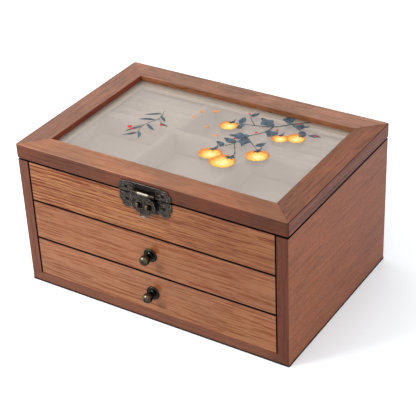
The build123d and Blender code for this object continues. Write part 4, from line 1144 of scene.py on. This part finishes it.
def flat(parts, pts, z=GZ, t=0.10):
    """A thin printed shape with its outline in (x, y), laid on the pane."""
    n = len(pts)
    verts = [(x, y, z + 0.01) for x, y in pts] + [(x, y, z + t) for x, y in pts]
    faces = [tuple(reversed(range(n))), tuple(range(n, 2 * n))]
    faces += [(i, (i + 1) % n, n + (i + 1) % n, n + i) for i in range(n)]
    parts.add(verts, faces)


def leaf_shape(x, y, length, width, angle, lobes=0, bend=0.0, n=14):
    """Outline of a leaf from its base at (x, y); angle in degrees, lobes for a broad toothed leaf."""
    a = math.radians(angle)
    dx, dy = math.cos(a), math.sin(a)
    out = []
    for side in (1, -1):
        pts = []
        for i in range(n + 1):
            t = i / n
            w = width * math.sin(math.pi * t ** 0.8) * (1 - 0.25 * t)
            if lobes:
                w *= 1.0 + 0.28 * math.cos(2 * math.pi * lobes * t)
            c = bend * math.sin(math.pi * t)
            u, v = length * t, side * w / 2 + c
            pts.append((x + dx * u - dy * v, y + dy * u + dx * v))
        out += pts if side == 1 else list(reversed(pts))[1:-1]
    return out


def stroke(pts, widths, n=6):
    """Outline of a brush stroke through points, smoothed, with a width at each."""
    def cr(p0, p1, p2, p3, t):
        return tuple(0.5 * (2 * b + (c - a) * t + (2 * a - 5 * b + 4 * c - d) * t * t + (3 * b - a - 3 * c + d) * t ** 3)
                     for a, b, c, d in zip(p0, p1, p2, p3))
    line, ws = [], []
    m = len(pts)
    for i in range(m - 1):
        p0, p1, p2, p3 = pts[max(0, i - 1)], pts[i], pts[i + 1], pts[min(m - 1, i + 2)]
        for j in range(n):
            t = j / n
            line.append(cr(p0, p1, p2, p3, t))
            ws.append(widths[i] + (widths[i + 1] - widths[i]) * t)
    line.append(pts[-1])
    ws.append(widths[-1])
    left, right = [], []
    for i, p in enumerate(line):
        a, b = line[max(0, i - 1)], line[min(len(line) - 1, i + 1)]
        t = Vector((b[0] - a[0], b[1] - a[1])).normalized()
        w = ws[i] / 2
        left.append((p[0] - t.y * w, p[1] + t.x * w))
        right.append((p[0] + t.y * w, p[1] - t.x * w))
    return left + list(reversed(right))


stems, leaves, berries, petals = Parts(), Parts(), Parts(), Parts()
# a branch from the back edge, right of the middle, falling towards the front in an S
for pts, ws in (
        ([(74, 74), (60, 62), (47, 50), (30, 44), (12, 40)], [2.2, 2.0, 1.7, 1.3, 0.7]),
        ([(47, 50), (44, 36), (34, 22), (30, 6), (20, -8)], [1.6, 1.3, 1.2, 1.0, 0.6]),
        ([(34, 22), (46, 12), (56, 4)], [1.0, 0.8, 0.6]),
        ([(30, 6), (38, -6), (42, -16)], [0.9, 0.7, 0.6]),
        ([(60, 62), (74, 54), (86, 50)], [1.2, 0.8, 0.5]),
        ([(30, 44), (22, 52), (16, 60)], [0.9, 0.7, 0.5]),
        ([(-62, 30), (-58, 14), (-64, -4), (-60, -20)], [0.5, 0.8, 0.7, 0.4]),
        ([(-58, 14), (-50, 6)], [0.6, 0.4]),
        ([(-64, -4), (-72, -10)], [0.6, 0.4])):
    flat(stems, stroke(pts, ws), t=0.06)
finish_piece(stems.object("print_stems", ink_dark, smooth=False), "lid")

rnd = random.Random(5)
for x, y, length, width, angle, lobes in (
        (46, 50, 21, 13, 150, 2), (44, 40, 19, 12, -20, 2), (36, 24, 20, 12, 200, 2), (33, 20, 17, 11, -70, 2),
        (31, 8, 15, 9, 170, 0), (58, 62, 18, 11, 120, 2), (62, 60, 16, 10, 20, 2), (16, 41, 14, 8, 100, 0),
        (20, 42, 16, 9, -120, 2), (74, 55, 14, 8, -60, 0), (84, 50, 12, 6, 10, 0), (24, -4, 13, 7, 150, 0),
        (18, 58, 11, 6, 70, 0), (50, 10, 12, 7, 60, 0),
        (-61, 24, 17, 4.0, 215, 0), (-60, 20, 15, 3.6, 320, 0), (-59, 10, 18, 4.2, 200, 0), (-62, 0, 16, 3.8, 330, 0),
        (-64, -6, 18, 4.2, 240, 0), (-61, -16, 14, 3.4, 300, 0), (-61, -18, 15, 3.6, 225, 0), (-52, 7, 11, 3.0, 350, 0)):
    flat(leaves, leaf_shape(x, y, length, width, angle, lobes, bend=rnd.uniform(-1.2, 1.2)), t=0.09)
finish_piece(leaves.object("print_leaves", ink_blue, smooth=False), "lid")

for x, y, r in ((38, 33, 1.5), (53, 46, 1.4), (26, 14, 1.3), (66, 66, 1.3), (90, 52, 1.4), (14, 62, 1.3),
                (-74, -12, 2.4), (-70, -15, 1.8), (-49, 4, 1.6)):
    flat(berries, [(x + r * math.cos(2 * math.pi * i / 16), y + r * math.sin(2 * math.pi * i / 16)) for i in range(16)], t=0.11)
finish_piece(berries.object("print_berries", ink_red, smooth=False), "lid")

for x, y, length, angle in ((-20, 50, 8, 30), (-26, 44, 7, 160), (-8, 24, 6.5, 250), (4, 10, 6, 20), (-30, 30, 6, 100)):
    flat(petals, leaf_shape(x, y, length, length * 0.55, angle), t=0.10)
finish_piece(petals.object("print_petals", ink_petal, smooth=False), "lid")


def fruit(name, x, y, r, turn, seed):
    """A round persimmon: a shallow domed disc, flattened a little, with a notch at its crown."""
    parts = Parts()
    loops = []
    sides = 40
    for k, h in ((1.0, 0.0), (1.0, 0.10), (0.9, 0.16), (0.6, 0.24), (0.25, 0.27)):
        loop = []
        for i in range(sides):
            a = 2 * math.pi * i / sides
            rr = r * k * (1.0 + 0.05 * math.cos(2 * a) - 0.05 * math.exp(-((math.sin((a - math.pi / 2) / 2)) ** 2) * 26)
                          + 0.012 * math.cos(7 * a + seed))
            loop.append((x + rr * math.cos(a + turn), y + rr * math.sin(a + turn), GZ + 0.01 + h))
        loops.append(loop)
    parts.loft(loops)
    ob = parts.object(name, fruit_ink(name + "_print", seed, r), origin=(x, y, GZ))
    return finish_piece(ob, "lid")


for i, (x, y, r, turn) in enumerate(((20, -20, 10.5, 0.2), (37, -27, 12.0, -0.3), (60, -4, 10.5, 0.5),
                                    (8, 33, 8.5, 0.1), (76, 40, 8.5, -0.4), (63, 33, 7.5, 0.4))):
    fruit("print_fruit_%d" % (i + 1), x, y, r, turn, 3 + i * 2)
caps = Parts()
for x, y, r, turn in ((20, -20, 10.5, 0.2), (37, -27, 12.0, -0.3), (60, -4, 10.5, 0.5), (8, 33, 8.5, 0.1),
                      (76, 40, 8.5, -0.4), (63, 33, 7.5, 0.4)):
    cx, cy = x + r * 0.80 * math.cos(turn + math.pi / 2), y + r * 0.80 * math.sin(turn + math.pi / 2)
    for a in (-150, -95, -30, 30):
        flat(caps, leaf_shape(cx, cy, r * 0.42, r * 0.26, math.degrees(turn) + a + 10), z=GZ + 0.12, t=0.30)
    flat(caps, stroke([(cx, cy), (cx + 1.0, cy + r * 0.4), (cx + 0.4, cy + r * 0.75)], [0.9, 0.7, 0.6]), t=0.30)
finish_piece(caps.object("print_fruit_caps", ink_blue, smooth=False), "lid")


# ---------------------------------------------------------------- floor and light
def floor_material():
    n = Net("white_floor")
    p = n.coord("Object")
    f = n.noise(p, scale=6.0, detail=3.0)
    colour = n.mix(f, (0.915, 0.955, 0.990), (0.930, 0.970, 1.0))
    return n.shader(Base_Color=colour, Roughness=n.remap(f, 0.3, 0.7, 0.75, 0.9), Specular_IOR_Level=0.1,
                    Emission_Color=(0.85, 0.97, 1.0), Emission_Strength=0.045)


S = 4000.0
floor = make("studio_floor", [(-S, -S, -0.05), (S, -S, -0.05), (S, S, -0.05), (-S, S, -0.05)], [(0, 1, 2, 3)],
             floor_material(), smooth=False)

world = bpy.data.worlds.new("studio_world")
scene.world = world
world.use_nodes = True
world.node_tree.nodes["Background"].inputs["Color"].default_value = (1.0, 1.0, 1.0, 1.0)
world.node_tree.nodes["Background"].inputs["Strength"].default_value = 1.2


def area(name, direction, distance, size, level, colour=(1, 1, 1)):
    """A square soft light; level is what it adds, straight on, to a white surface."""
    d = Vector(direction).normalized()
    light = bpy.data.lights.new(name, "AREA")
    light.shape = "SQUARE"
    light.size = size
    light.energy = level * math.pi ** 2 * distance ** 2
    light.color = colour
    ob = bpy.data.objects.new(name, light)
    ob.location = d * distance + Vector((0, 0, 0.07))
    ob.rotation_mode = "QUATERNION"
    ob.rotation_quaternion = (-d).to_track_quat("-Z", "Y")
    scene.collection.objects.link(ob)
    return ob


area("key_light", (-0.52, -0.54, 0.66), 1.7, 0.75, 0.70)


# ----------------------------------------------------------------------- camera
def camera():
    az, el, ro = math.radians(33.1918), math.radians(32.1201), -0.0471
    back = Vector((math.sin(az) * math.cos(el), -math.cos(az) * math.cos(el), math.sin(el)))
    right = Vector((math.cos(az), math.sin(az), 0.0))
    up = back.cross(right)
    c, s = math.cos(ro), math.sin(ro)
    r2 = right * c + up * s
    u2 = -right * s + up * c
    rot = Matrix((r2, u2, back)).transposed().to_4x4()
    data = bpy.data.cameras.new("photo_camera")
    data.lens = 110.5613
    data.sensor_width = 36.0
    data.clip_start, data.clip_end = 0.05, 50.0
    ob = bpy.data.objects.new("photo_camera", data)
    ob.matrix_world = Matrix.Translation((0.56798, -0.86518, 0.71930)) @ rot
    scene.collection.objects.link(ob)
    scene.camera = ob
    return ob


camera()
